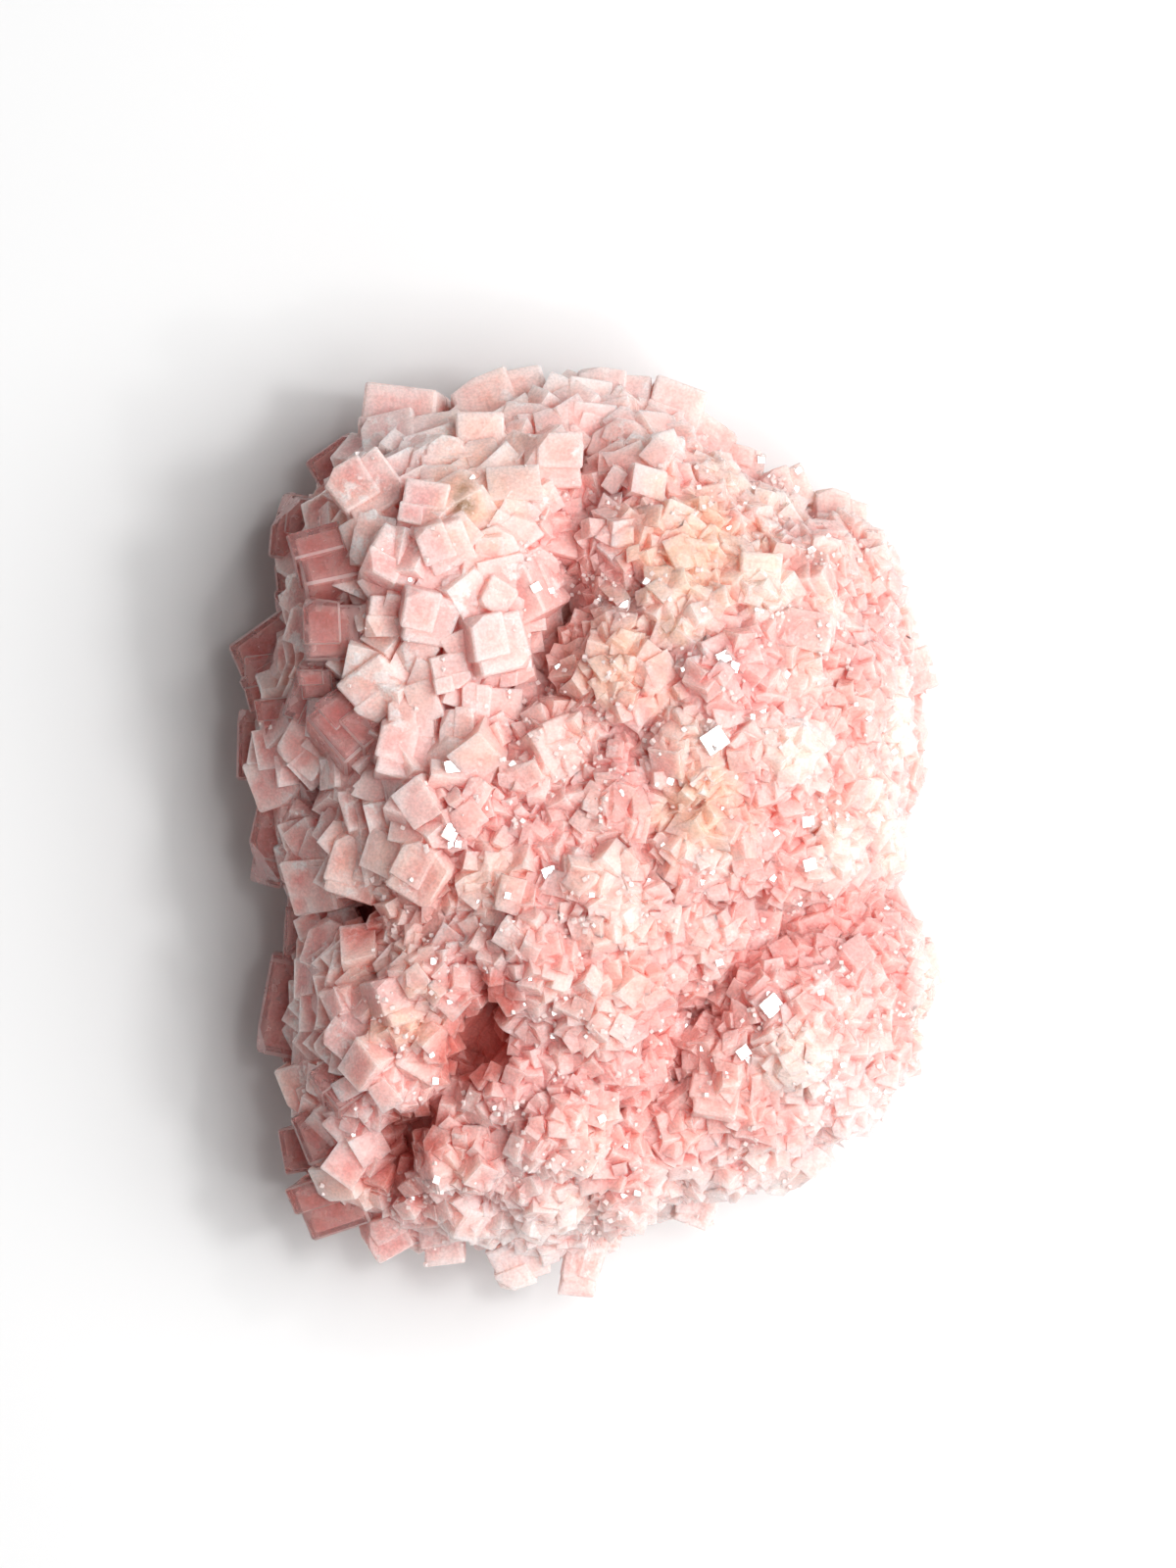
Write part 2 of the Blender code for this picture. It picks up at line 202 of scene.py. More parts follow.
def moundPoint(headingDeg, climb):  # climb below 0 goes down the flank, to -1 at the cut plane
    if climb >= 0:
        point = crownPoint(headingDeg, climb)
        return point, crownNormal(point.x, point.y)
    return flankPoint(headingDeg, mound["widestLevel"] * (1 + climb)), turned(headingDeg)


def ontoMiddle(point):  # from the mound's own millimetres to metres in the shared frame
    return (point - Vector((*mound["middle"], 0))) * mm


def makeObject(name, bm):
    bmesh.ops.recalc_face_normals(bm, faces=bm.faces)
    mesh = bpy.data.meshes.new(name)
    bm.to_mesh(mesh)
    bm.free()
    made = bpy.data.objects.new(name, mesh)
    bpy.context.scene.collection.objects.link(made)
    return made


def addFloats(mesh, name, domain, values, kind="FLOAT"):
    attribute = mesh.attributes.new(name, kind, domain)
    flat = np.asarray(values, np.int32 if kind == "INT" else np.float32).ravel()
    attribute.data.foreach_set("vector" if kind == "FLOAT_VECTOR" else "value", flat)


def coreSurface(headingDeg, climb):  # the mound's point, raised and knocked about as the crust's floor
    point, outward = moundPoint(headingDeg, climb)
    fine, pit = fineShare(point.x, point.y), pitShare(point.x, point.y)
    lift = mound["leftLift"] + (mound["rightLift"] - mound["leftLift"]) * fine
    lift -= mound["pitSink"] * pit * (climb > 0)
    lump = (crestShare(point) - mound["lumpMiddle"]) * mound["lumpRise"] * fine * (1 - pit)
    knock = noise.fractal(point / mound["roughSize"], *octaves) * mound["roughness"]
    return point + outward * (lift + lump + knock)


growth = {
    "upwards": 0.9,
    "domainTurn": 85.0,  # cubes lie nearly alike over a domain of this size
    "domainSize": 12.0,
}


def facing(outward):  # the way a cube's top looks: outward, but turned up
    return (outward.normalized() + Vector((0, 0, growth["upwards"]))).normalized()


def twistAt(place):
    return 45 + growth["domainTurn"] * noise.noise(place / growth["domainSize"])


def makeCore():
    sides, flankRings, crownRings = mound["sides"], mound["flankRings"], mound["crownRings"]
    foot = -1 - mound["cutDepth"] / mound["widestLevel"]
    climbs = [foot * (1 - i / flankRings) for i in range(flankRings)]
    climbs += [i / crownRings for i in range(crownRings)]
    bm = bmesh.new()
    rings = [[bm.verts.new(ontoMiddle(coreSurface(360 * i / sides, climb))) for i in range(sides)]
             for climb in climbs]
    for low, high in zip(rings, rings[1:]):
        for i in range(sides):
            j = (i + 1) % sides
            bm.faces.new((low[i], low[j], high[j], high[i]))
    summit = bm.verts.new(ontoMiddle(coreSurface(0, 1)))
    for i in range(sides):
        bm.faces.new((rings[-1][i], rings[-1][(i + 1) % sides], summit))
    bm.faces.new(reversed(rings[0]))
    core = makeObject("core", bm)
    places = [v.co / mm + Vector((*mound["middle"], 0)) for v in core.data.vertices]
    core.data.update()
    facings = [facing(v.normal) for v in core.data.vertices]
    valleys = [min(1.0, valleyDepth(p.x, p.y) / mound["valleyFull"]) for p in places]
    addFloats(core.data, "pit", "POINT", [pitShare(p.x, p.y) for p in places])
    addFloats(core.data, "valley", "POINT", valleys)
    addFloats(core.data, "fine", "POINT", [fineShare(p.x, p.y) for p in places])
    addFloats(core.data, "crest", "POINT", [crestShare(p) for p in places])
    addFloats(core.data, "facing", "POINT", facings, "FLOAT_VECTOR")
    addFloats(core.data, "twist", "POINT", [math.radians(twistAt(p)) for p in places])
    return core


# ---- the cubes given one by one: middle, side, turn about +Z, then a lean towards a heading


def cube(x, y, side, turn, lean, toward, wide=1.0, out=0.22):
    return {"x": x, "y": y, "side": side, "turn": turn, "lean": lean, "toward": toward,
            "wide": wide, "out": out}


upperLeft = (
    cube(-21.5, 45.6, 7.4, -8, 12, 150, out=0.3),
    cube(-28.0, 41.2, 5.9, 35, 20, 140),
    cube(-32.4, 34.6, 6.9, -8, 12, 180),
    cube(-33.0, 28.0, 5.6, 3, 5, 180, out=0.0),
    cube(-27.3, 29.1, 6.8, 15, 30, 100, out=0.35),
    cube(-27.1, 22.6, 6.0, -3, 6, 200, out=0.4),
    cube(-33.7, 19.6, 7.8, 30, 25, 170),
    cube(-36.0, 17.4, 5.8, 10, 15, 180),
    cube(-29.9, 15.4, 6.0, -22, 15, 250),
    cube(-28.5, 16.7, 3.2, 3, 8, 270, out=1.1),
    cube(-23.5, 16.8, 5.6, 40, 18, 240),
    cube(-18.5, 35.9, 4.8, -12, 10, 90, out=0.35),
    cube(-17.6, 41.2, 4.9, -15, 15, 60),
    cube(-12.3, 42.9, 5.3, 0, 8, 90, out=0.45),
    cube(-5.3, 40.9, 5.7, 2, 6, 0, wide=0.95, out=0.4),
    cube(-9.6, 48.0, 6.6, 17, 24, 90, wide=1.45),
    cube(-9.4, 37.4, 3.4, 5, 15, 30),
    cube(-23.8, 37.4, 6.6, 35, 20, 120),
    cube(-21.7, 30.2, 5.2, -25, 18, 60),
    cube(-16.4, 32.4, 5.0, 20, 15, 300),
    cube(-8.4, 27.0, 6.2, 28, 25, 200),
    cube(-22.6, 24.4, 4.2, -5, 10, 0),
    cube(-18.1, 24.4, 5.4, -12, 15, 300),
    cube(-14.7, 26.6, 3.4, 5, 10, 90),
    cube(-11.9, 21.4, 6.0, 12, 18, 0, out=0.3),
    cube(-10.4, 19.2, 3.6, 6, 5, 270, out=0.8),
    cube(-16.0, 17.9, 3.8, 10, 10, 20, out=0.4),
    cube(-19.6, 16.6, 3.2, 40, 30, 100),
    cube(-13.5, 13.4, 2.9, 85, 8, 0, wide=1.7, out=0.5),
    cube(2.2, 38.2, 4.6, -20, 15, 0),
    cube(-3.1, 34.2, 5.4, 10, 20, 270),
    cube(-3.8, 28.6, 6.0, -30, 30, 270),
)

leftEdge = (
    cube(-26.5, 11.0, 6.8, 40, 20, 90),
    cube(-19.8, 12.0, 4.4, 5, 10, 90),
    cube(-20.6, 7.6, 5.8, -15, 15, 60),
    cube(-36.6, 9.4, 5.8, 88, 10, 180, wide=1.3),
    cube(-33.4, 12.6, 4.8, 10, 20, 200),
    cube(-35.0, -1.7, 6.8, 80, 8, 180, wide=1.25, out=0.1),
    cube(-31.6, 6.2, 3.2, 88, 10, 180, wide=1.8),
    cube(-31.2, -11.0, 4.2, 86, 12, 270, wide=1.8, out=0.5),
    cube(-25.0, -4.4, 6.0, 75, 15, 180),
    cube(-25.2, 1.6, 4.4, 15, 15, 90),
    cube(-18.6, 1.6, 5.2, -30, 30, 100),
    cube(-17.7, -5.1, 6.2, -32, 20, 200),
    cube(-8.7, 5.9, 3.2, 0, 5, 0, out=0.5),
    cube(-4.2, 7.9, 6.2, 25, 30, 20),
)

lowerLeft = (
    cube(-21.8, -19.8, 5.4, 20, 20, 0, out=0.1),
    cube(-20.0, -26.6, 5.2, -25, 25, 40, out=0.1),
    cube(-25.6, -23.8, 5.0, 50, 15, 180),
    cube(-33.6, -21.6, 7.4, 80, 10, 180, wide=1.4, out=0.1),
    cube(-31.8, -19.8, 3.6, 15, 10, 0, out=0.8),
    cube(-31.6, -26.6, 3.4, 5, 5, 0, out=0.7),
    cube(-22.6, -13.6, 3.6, -5, 12, 90),
    cube(-18.9, -13.4, 3.8, 0, 10, 45),
    cube(-28.6, -35.4, 6.2, 25, 25, 150),
    cube(-32.6, -37.6, 5.0, 10, 20, 190),
    cube(-29.4, -43.6, 6.6, 20, 15, 230),
    cube(-27.0, -29.9, 5.4, 35, 20, 90),
    cube(-15.6, -38.4, 5.8, 15, 15, 0),
    cube(-23.4, -47.4, 5.0, 30, 20, 250),
    cube(-16.9, -48.8, 4.4, 5, 10, 270),
    cube(-8.2, -50.0, 5.8, 25, 20, 270),
    cube(-0.6, -51.4, 4.2, 75, 10, 270, wide=1.7),
    cube(-11.5, -31.4, 3.4, 12, 15, 0),
)

upperRight = (
    cube(3.4, 49.2, 5.4, -6, 25, 90, wide=1.3, out=0.1),
    cube(10.0, 48.6, 5.4, -18, 15, 60),
    cube(3.4, 43.6, 4.8, -18, 20, 100, out=0.1),
    cube(8.4, 42.0, 4.4, 5, 12, 60, out=0.1),
    cube(13.6, 44.2, 5.4, -35, 25, 60, out=0.1),
    cube(18.0, 41.6, 4.6, -15, 15, 60, out=0.1),
    cube(23.0, 39.0, 5.2, 20, 20, 45),
    cube(19.2, 28.3, 5.3, -4, 5, 0, out=0.2),
    cube(25.1, 27.6, 5.2, 20, 35, 270),
    cube(20.4, 34.4, 3.9, -2, 10, 90),
    cube(28.8, 34.8, 6.2, -10, 25, 45),
    cube(8.5, 27.3, 4.0, 0, 20, 90),
    cube(13.0, 37.0, 4.0, 10, 12, 0),
    cube(23.8, 22.0, 4.6, -10, 15, 90, wide=1.6),
    cube(15.0, 19.2, 4.6, 25, 30, 30),
    cube(37.6, 17.8, 5.0, 25, 20, 10),
)

lowerRight = (
    cube(14.1, 9.9, 3.2, 33, 20, 60, wide=1.3, out=0.45),
    cube(18.2, -10.4, 5.2, -10, 15, 270, out=0.3),
    cube(26.6, -12.4, 4.4, 20, 15, 300),
    cube(33.2, -8.6, 7.0, -62, 15, 0, wide=1.5, out=-0.1),
    cube(38.6, -16.6, 5.0, 20, 15, 350),
    cube(20.8, -20.5, 3.2, 40, 10, 0, out=0.4),
    cube(15.1, -31.0, 5.4, -10, 15, 90, out=0.2),
    cube(17.7, -25.2, 3.0, 5, 12, 120, out=0.4),
    cube(12.7, -44.6, 4.4, -15, 10, 270),
    cube(32.4, -32.8, 4.8, 30, 15, 300),
    cube(36.6, -27.6, 4.2, 15, 10, 320),
)

placedCubes = upperLeft + leftEdge + lowerLeft + upperRight + lowerRight

# ---- the kinds of block that a crystal is picked from, each about one unit wide

blocks = {
    "sizes": ((0.94, 1.06), (0.9, 1.0), (0.92, 1.1)),
    "chamfer": 0.04,
    "ledgeShares": ((0.5, 0.92), (0.5, 0.92), (0.6, 0.95)),  # a ledge's size against its block's
    "ledgeShift": (0.035, 0.13),
    "ledgeProud": 0.6,  # how much of that shift stands out past the block
    "ledgeChamfer": 0.8,
    "nickDepth": (0.06, 0.2),  # how deep a corner is broken off, in sides
    "nickSlope": (0.5, 1.6),
    "nickFrost": 0.4,  # how frosted the break is, against 1 on a chamfer
    "ledgedKinds": 9,  # large cubes: a block with others grown in line with it
    "ledgeCounts": (1, 2, 2, 3),
    "largeNicks": 3,
    "middleKinds": 6,
    "middleNicks": 2,
    "smallKinds": 6,
    "smallNicks": 1,
    "seed": 5,
}


def boxObject(name, size, offset, chamfer):  # a chamfered box whose faces carry their own 0 to 1 place
    bm = bmesh.new()
    rim = bm.faces.layers.float.new("rim")
    uv = bm.loops.layers.uv.new("UVMap")
    bmesh.ops.create_cube(bm, size=1, matrix=Matrix.Diagonal((*size, 1)))
    if chamfer:
        bmesh.ops.bevel(bm, geom=bm.edges[:] + bm.verts[:], offset=chamfer, segments=1, affect="EDGES")
    bm.normal_update()
    for face in bm.faces:
        axis = max(range(3), key=lambda k: abs(face.normal[k]))
        flat = abs(face.normal[axis]) > 0.99
        face[rim] = 0.0 if flat else 1.0
        a, b = [k for k in range(3) if k != axis]
        for loop in face.loops:
            place = (loop.vert.co[a] / size[a] + 0.5, loop.vert.co[b] / size[b] + 0.5)
            loop[uv].uv = place if flat else (0.0, 0.0)
    bmesh.ops.translate(bm, verts=bm.verts, vec=offset)
    return makeObject(name, bm)


def breakCorner(block, depth, rng):
    corner = Vector(rng.choice((-0.5, 0.5)) for _ in range(3))
    slope = Vector(c * rng.uniform(*blocks["nickSlope"]) for c in corner).normalized()
    outermost = max((v.co for v in block.data.vertices), key=lambda co: co.dot(slope))
    bm = bmesh.new()
    bm.from_mesh(block.data)
    cut = bmesh.ops.bisect_plane(bm, geom=bm.verts[:] + bm.edges[:] + bm.faces[:], plane_no=slope,
                                 plane_co=outermost - slope * depth, clear_outer=True)["geom_cut"]
    filled = bmesh.ops.holes_fill(bm, edges=[e for e in cut if isinstance(e, bmesh.types.BMEdge)], sides=0)
    rim = bm.faces.layers.float["rim"]
    for face in filled["faces"]:
        face[rim] = blocks["nickFrost"]
    bm.to_mesh(block.data)
    bm.free()


def fuse(target, helper):
    boolean = target.modifiers.new("Join", "BOOLEAN")
    boolean.operation = "UNION"
    boolean.solver = "EXACT"
    boolean.object = helper
    graph = bpy.context.evaluated_depsgraph_get()
    target.data = bpy.data.meshes.new_from_object(target.evaluated_get(graph))
    target.modifiers.clear()
    bpy.data.objects.remove(helper)


def makeBlock(name, ledges, nicks, chamfer, tone, bare, rng):
    size = Vector(rng.uniform(*span) for span in blocks["sizes"])
    block = boxObject(name, size, Vector(), chamfer)
    for _ in range(ledges):
        share = Vector(rng.uniform(*span) for span in blocks["ledgeShares"])
        shift = Vector(rng.uniform(*blocks["ledgeShift"]) * rng.choice((-1, 1)) for _ in range(3))
        room = Vector(size[k] * (1 - share[k]) / 2 for k in range(3))
        offset = Vector(math.copysign(room[k], shift[k]) + shift[k] * blocks["ledgeProud"] for k in range(3))
        small = Vector(size[k] * share[k] for k in range(3))
        fuse(block, boxObject(name + "Ledge", small, offset, chamfer * blocks["ledgeChamfer"]))
    for _ in range(nicks):
        breakCorner(block, rng.uniform(*blocks["nickDepth"]), rng)
    addFloats(block.data, "tone", "FACE", [tone] * len(block.data.polygons))
    addFloats(block.data, "bare", "FACE", [bare] * len(block.data.polygons))
    return block


def blockCollection(name, kinds, nicks, chamfer, rng):  # kinds lists how many ledges each block has
    collection = bpy.data.collections.new(name)
    for i, ledges in enumerate(kinds):
        bare = float(name == "block" and i < blocks["ledgedKinds"])  # the large cubes stay free of crust
        block = makeBlock(f"{name}{i:02d}", ledges, nicks, chamfer, (i + 1) / len(kinds), bare, rng)
        bpy.context.scene.collection.objects.unlink(block)
        collection.objects.link(block)
    return collection


# ---- where the large and middle cubes are rooted

filling = {
    "leftGrowth": 0.12,
    "placedDepth": (0.98, 1.15),  # of a listed cube, against its side
    "coarseSide": 5.6,  # usual side of a middle cube
    "fineSide": 2.6,
    "flankSide": 5.6,
    "flankBlend": 2.0,
    "sizeRange": (0.66, 1.35),
    "width": (0.95, 1.25),
    "depth": (0.95, 1.2),
    "coarseLean": 13.0,
    "fineLean": 50.0,
    "coarseSpread": 15.0,  # how far a cube is turned from the way its neighbours lie
    "fineSpread": 45.0,
    "coarseOut": (-0.2, 0.04),
    "fineOut": (-0.44, -0.12),
    "coarseSpacing": 0.76,  # times the mean side of two neighbours
    "fineSpacing": 0.62,
    "tries": 14000,
    "lowestClimb": -0.93,
    "clearEdge": -26.0,
    "openFrom": 2.2,  # no cube is rooted in a hole deeper than this
    "seed": 11,
}


def seed(root, spot, turn, size, kind=0):  # kind is the block's number in its collection
    return {"root": root, "spot": spot, "turn": turn, "size": Vector(size), "kind": kind}


def tippedFrame(turn, lean, toward):
    tip = Matrix.Rotation(math.radians(lean), 3, turned(toward + 90))
    return tip @ Matrix.Rotation(math.radians(turn), 3, "Z")


def placedSeeds(rng):
    seeds = []
    for c in placedCubes:
        x, y = c["x"], c["y"]
        root = Vector((x, y, crownHeight(x, y)))
        side = c["side"] * (1 + filling["leftGrowth"] * (1 - fineShare(x, y)))
        size = (side * c["wide"], side, side * rng.uniform(*filling["placedDepth"]))
        spot = root + crownNormal(x, y) * c["side"] * c["out"]
        kind = rng.randrange(blocks["ledgedKinds"])
        seeds.append(seed(root, spot, tippedFrame(c["turn"], c["lean"], c["toward"]), size, kind))
    return seeds


def grownFrame(outward, turn, lean, toward):  # a cube whose top looks outward and up, then leans
    upright = Vector((0, 0, 1)).rotation_difference(facing(outward)).to_matrix()
    return upright @ tippedFrame(turn, lean, toward)


def zoned(name, fine):  # a value of the filling between its coarse and its fine zone
    coarse, end = filling["coarse" + name], filling["fine" + name]
    if isinstance(coarse, tuple):
        return tuple(a + (b - a) * fine for a, b in zip(coarse, end))
    return coarse + (end - coarse) * fine


def fillSeeds(rng, taken):
    roots = np.array([row["root"] for row in taken])
    sides = np.array([row["size"].y for row in taken])
    seeds = []
    for _ in range(filling["tries"]):
        heading, climb = rng.uniform(0, 360), rng.uniform(filling["lowestClimb"], 1)
        root, outward = moundPoint(heading, climb)
        fine = fineShare(root.x, root.y)
        side = zoned("Side", fine)
        if climb < 0:
            down = min(1.0, -filling["flankBlend"] * climb)
            side += (filling["flankSide"] - side) * down * (1 - 0.5 * fine)
        side *= rng.uniform(*filling["sizeRange"])
        if climb > 0 and hollowDepth(root.x, root.y) > filling["openFrom"]:
            continue
        apart = np.linalg.norm(roots - np.array(root), axis=1)
        if (apart < zoned("Spacing", fine) * (sides + side) / 2).any():
            continue
        roots, sides = np.vstack((roots, root)), np.append(sides, side)
        spread, lean = zoned("Spread", fine), zoned("Lean", fine)
        twist = twistAt(root) + rng.uniform(-spread, spread)
        turn = grownFrame(outward, twist, rng.uniform(0, lean), rng.uniform(0, 360))
        size = (side * rng.uniform(*filling["width"]), side, side * rng.uniform(*filling["depth"]))
        kind = blocks["ledgedKinds"] + rng.randrange(blocks["middleKinds"])
        kind += blocks["middleKinds"] * (fine > 0.5)
        spot = coreSurface(heading, climb) + outward * side * rng.uniform(*zoned("Out", fine))
        seeds.append(seed(root, spot, turn, size, kind))
    return seeds


def isClear(row):  # the large cubes of the left edge have a clear outer part
    return row["kind"] < blocks["ledgedKinds"] and row["root"].x < filling["clearEdge"]


def seedObject(name, seeds):
    mesh = bpy.data.meshes.new(name)
    mesh.from_pydata([ontoMiddle(row["spot"]) for row in seeds], [], [])
    addFloats(mesh, "turn", "POINT", [row["turn"].to_euler() for row in seeds], "FLOAT_VECTOR")
    addFloats(mesh, "size", "POINT", [row["size"] * mm for row in seeds], "FLOAT_VECTOR")
    addFloats(mesh, "kind", "POINT", [row["kind"] for row in seeds], "INT")
    addFloats(mesh, "clear", "POINT", [float(isClear(row)) for row in seeds])
    made = bpy.data.objects.new(name, mesh)
    bpy.context.scene.collection.objects.link(made)
    print(name + ":", len(seeds), "seeds")
    return made


glints = {  # small bright faces that mirror the key light; placed gives x, y, side and turn
    "placed": ((14.1, 9.9, 2.4, 33), (20.8, -20.5, 2.0, 40), (-15.9, -0.6, 1.6, 60), (-4.6, -5.2, 1.3, 20),
               (-15.5, 6.7, 1.9, 10), (25.3, -4.3, 1.3, 15), (4.4, 25.4, 1.5, 50), (15.3, 19.4, 1.3, 25),
               (16.6, 18.3, 1.0, 70), (17.7, -25.9, 1.3, 35), (25.1, 0.6, 1.2, 5), (-6.1, 27.5, 1.0, 30)),
    "lean": 16.3,
    "toward": 3.0,
    "spread": 2.0,
    "spreadAside": 3,
    "scattered": 130,
    "xRange": (-30, 42),
    "yRange": (-52, 54),
    "coarseShare": 0.15,  # how many of them lie in the coarse zone
    "shrink": (0.6, 1),
    "sideRange": (0.3, 0.85),
    "wide": 1.2,
    "sunk": 0.3,
    "lowest": 6,  # none lies lower than this
    "seed": 4,
}


def topOf(surface, x, y):  # the crystals' highest place over x, y, in the mound's millimetres, if any
    spot = surface.ray_cast(ontoMiddle(Vector((x, y, mound["ceiling"]))), Vector((0, 0, -1)))[0]
    return spot and spot / mm + Vector((*mound["middle"], 0))


def glintSeeds(surface):
    rng = random.Random(glints["seed"])
    places = [(*place, 0.0) for place in glints["placed"]]
    while len(places) < len(glints["placed"]) + glints["scattered"]:
        x, y = rng.uniform(*glints["xRange"]), rng.uniform(*glints["yRange"])
        if rng.random() < glints["coarseShare"] + (1 - glints["coarseShare"]) * fineShare(x, y):
            side = rng.uniform(*glints["shrink"]) * rng.uniform(*glints["sideRange"])
            places.append((x, y, side, rng.uniform(0, 90), glints["spread"]))
    seeds = []
    for x, y, side, turn, spread in places:
        spot = topOf(surface, x, y)
        lean = glints["lean"] + rng.uniform(-spread, spread)
        toward = glints["toward"] + glints["spreadAside"] * rng.uniform(-spread, spread)
        if spot and spot.z > glints["lowest"]:
            root = spot - Vector((0, 0, glints["sunk"] * side))
            size = (side * glints["wide"], side, side)
            seeds.append(seed(root, root, tippedFrame(turn, lean, toward), size))
    return seeds


grains = {  # loose grains of salt, gathered in drifts
    "tries": 6200,
    "xRange": (-44, 44),
    "yRange": (-56, 56),
    "lowest": 6,
    "driftSize": 5.0,
    "thinnest": 0.05,  # noise value at the edge of a drift, and in its thick
    "thickest": 0.45,
    "coarseShare": 0.15,  # how many of them lie in the coarse zone
    "sides": (0.22, 0.55),
    "seed": 2,
}


def grainSeeds(surface):
    rng = random.Random(grains["seed"])
    seeds = []
    for _ in range(grains["tries"]):
        x, y, draw = rng.uniform(*grains["xRange"]), rng.uniform(*grains["yRange"]), rng.random()
        thick = noise.fractal(Vector((x, y, 0)) / grains["driftSize"], *octaves)
        share = smoothStep((thick - grains["thinnest"]) / (grains["thickest"] - grains["thinnest"]))
        share *= grains["coarseShare"] + (1 - grains["coarseShare"]) * fineShare(x, y)
        if draw < share * (1 - pitShare(x, y)):
            spot = topOf(surface, x, y)
            side = rng.uniform(*grains["sides"])
            turn = Euler(rng.uniform(0, math.pi / 2) for _ in range(3)).to_matrix()
            if spot and spot.z > grains["lowest"]:
                seeds.append(seed(spot, spot, turn, (side, side, side)))
    return seeds


# ---- writing node trees


class Nodes:
    def __init__(self, tree):
        self.tree = tree

    def feed(self, target, value):  # links a socket, or sets a plain value
        if isinstance(value, bpy.types.NodeSocket):
            self.tree.links.new(value, target)
        else:
            target.default_value = value

    def add(self, kind, links=(), **settings):  # links: (input name or number, socket or value)
        node = self.tree.nodes.new(kind)
        for key, value in settings.items():
            setattr(node, key, value)
        for key, value in links:
            self.feed(node.inputs[key], value)
        return node

    def math(self, operation, a, b=0.0, clamp=False):
        return self.add("ShaderNodeMath", ((0, a), (1, b)), operation=operation, use_clamp=clamp).outputs[0]

    def times(self, a, b):
        return self.math("MULTIPLY", a, b)

    def plus(self, a, b):
        return self.math("ADD", a, b)

    def vector(self, operation, a, b):
        key = "Scale" if operation == "SCALE" else 1
        return self.add("ShaderNodeVectorMath", ((0, a), (key, b)), operation=operation)

    def range(self, value, low, high, start=0.0, end=1.0):
        return self.add("ShaderNodeMapRange", (("Value", value), ("From Min", low), ("From Max", high),
                                               ("To Min", start), ("To Max", end))).outputs[0]


class Tree(Nodes):  # a geometry tree whose first input and only output is the geometry
    def __init__(self, name, inputs):
        super().__init__(bpy.data.node_groups.new(name, "GeometryNodeTree"))
        sockets = self.tree.interface
        for title, kind, *value in (("Geometry", "Geometry"), *inputs):
            made = sockets.new_socket(title, in_out="INPUT", socket_type="NodeSocket" + kind)
            if value:
                made.default_value = value[0]
        sockets.new_socket("Geometry", in_out="OUTPUT", socket_type="NodeSocketGeometry")
        self.given = self.tree.nodes.new("NodeGroupInput").outputs
        self.result = self.tree.nodes.new("NodeGroupOutput").inputs[0]

    def named(self, name, kind="FLOAT"):
        return self.add("GeometryNodeInputNamedAttribute", (("Name", name),), data_type=kind).outputs[0]

    def stored(self, mesh, name, value):
        links = (("Geometry", mesh), ("Name", name), ("Value", value))
        return self.add("GeometryNodeStoreNamedAttribute", links, domain="POINT").outputs[0]

    def sampled(self, surface, name):  # the attribute's value on the nearest place of a surface
        return self.add("GeometryNodeSampleNearestSurface", (("Mesh", surface), ("Value", self.named(name))),
                        data_type="FLOAT").outputs[0]

    def random(self, low, high, number, kind="FLOAT"):
        first, result = (0, 0) if kind == "FLOAT_VECTOR" else (2, 1)
        return self.add("FunctionNodeRandomValue", ((first, low), (first + 1, high), ("Seed", number)),
                        data_type=kind).outputs[result]

    def planted(self, points, blocks, links):  # one block of the collection on each point
        kinds = self.add("GeometryNodeCollectionInfo", (
            ("Collection", blocks), ("Separate Children", True), ("Reset Children", True))).outputs[0]
        return self.add("GeometryNodeInstanceOnPoints", (
            ("Points", points), ("Instance", kinds), ("Pick Instance", True), *links)).outputs[0]

    def grownOn(self, seeds, blocks, size):  # the blocks that the seeds name, turned as the seeds say
        return self.planted(seeds, blocks, (
            ("Instance Index", self.named("kind", "INT")), ("Rotation", self.named("turn", "FLOAT_VECTOR")),
            ("Scale", size)))

    def boolean(self, operation, parts):  # for a difference the first part is the one that is cut
        node = self.add("GeometryNodeMeshBoolean", (), operation=operation, solver="MANIFOLD")
        if operation == "DIFFERENCE":
            self.feed(node.inputs["Mesh 1"], parts[0])
            parts = parts[1:]
        for part in parts:
            self.feed(node.inputs["Mesh 2"], part)
        return node.outputs["Mesh"]

    def cutAtBase(self, mesh):  # takes away what lies under the base plane
        wide, thick = 0.4, 0.08
        slab = self.add("GeometryNodeMeshCube", (("Size", (wide, wide, thick)),)).outputs[0]
        sunk = self.add("GeometryNodeTransform", (("Geometry", slab), ("Translation", (0, 0, -thick / 2))))
        return self.boolean("DIFFERENCE", (mesh, sunk.outputs[0]))

    def finished(self, mesh, material):  # triangles, made while the faces are still flat
        realized = self.add("GeometryNodeRealizeInstances", (("Geometry", mesh),)).outputs[0]
        whole = self.add("GeometryNodeTriangulate", (("Mesh", realized),)).outputs[0]
        return self.add("GeometryNodeSetMaterial", (("Geometry", whole), ("Material", material))).outputs[0]


# ---- the trees that grow the crystals

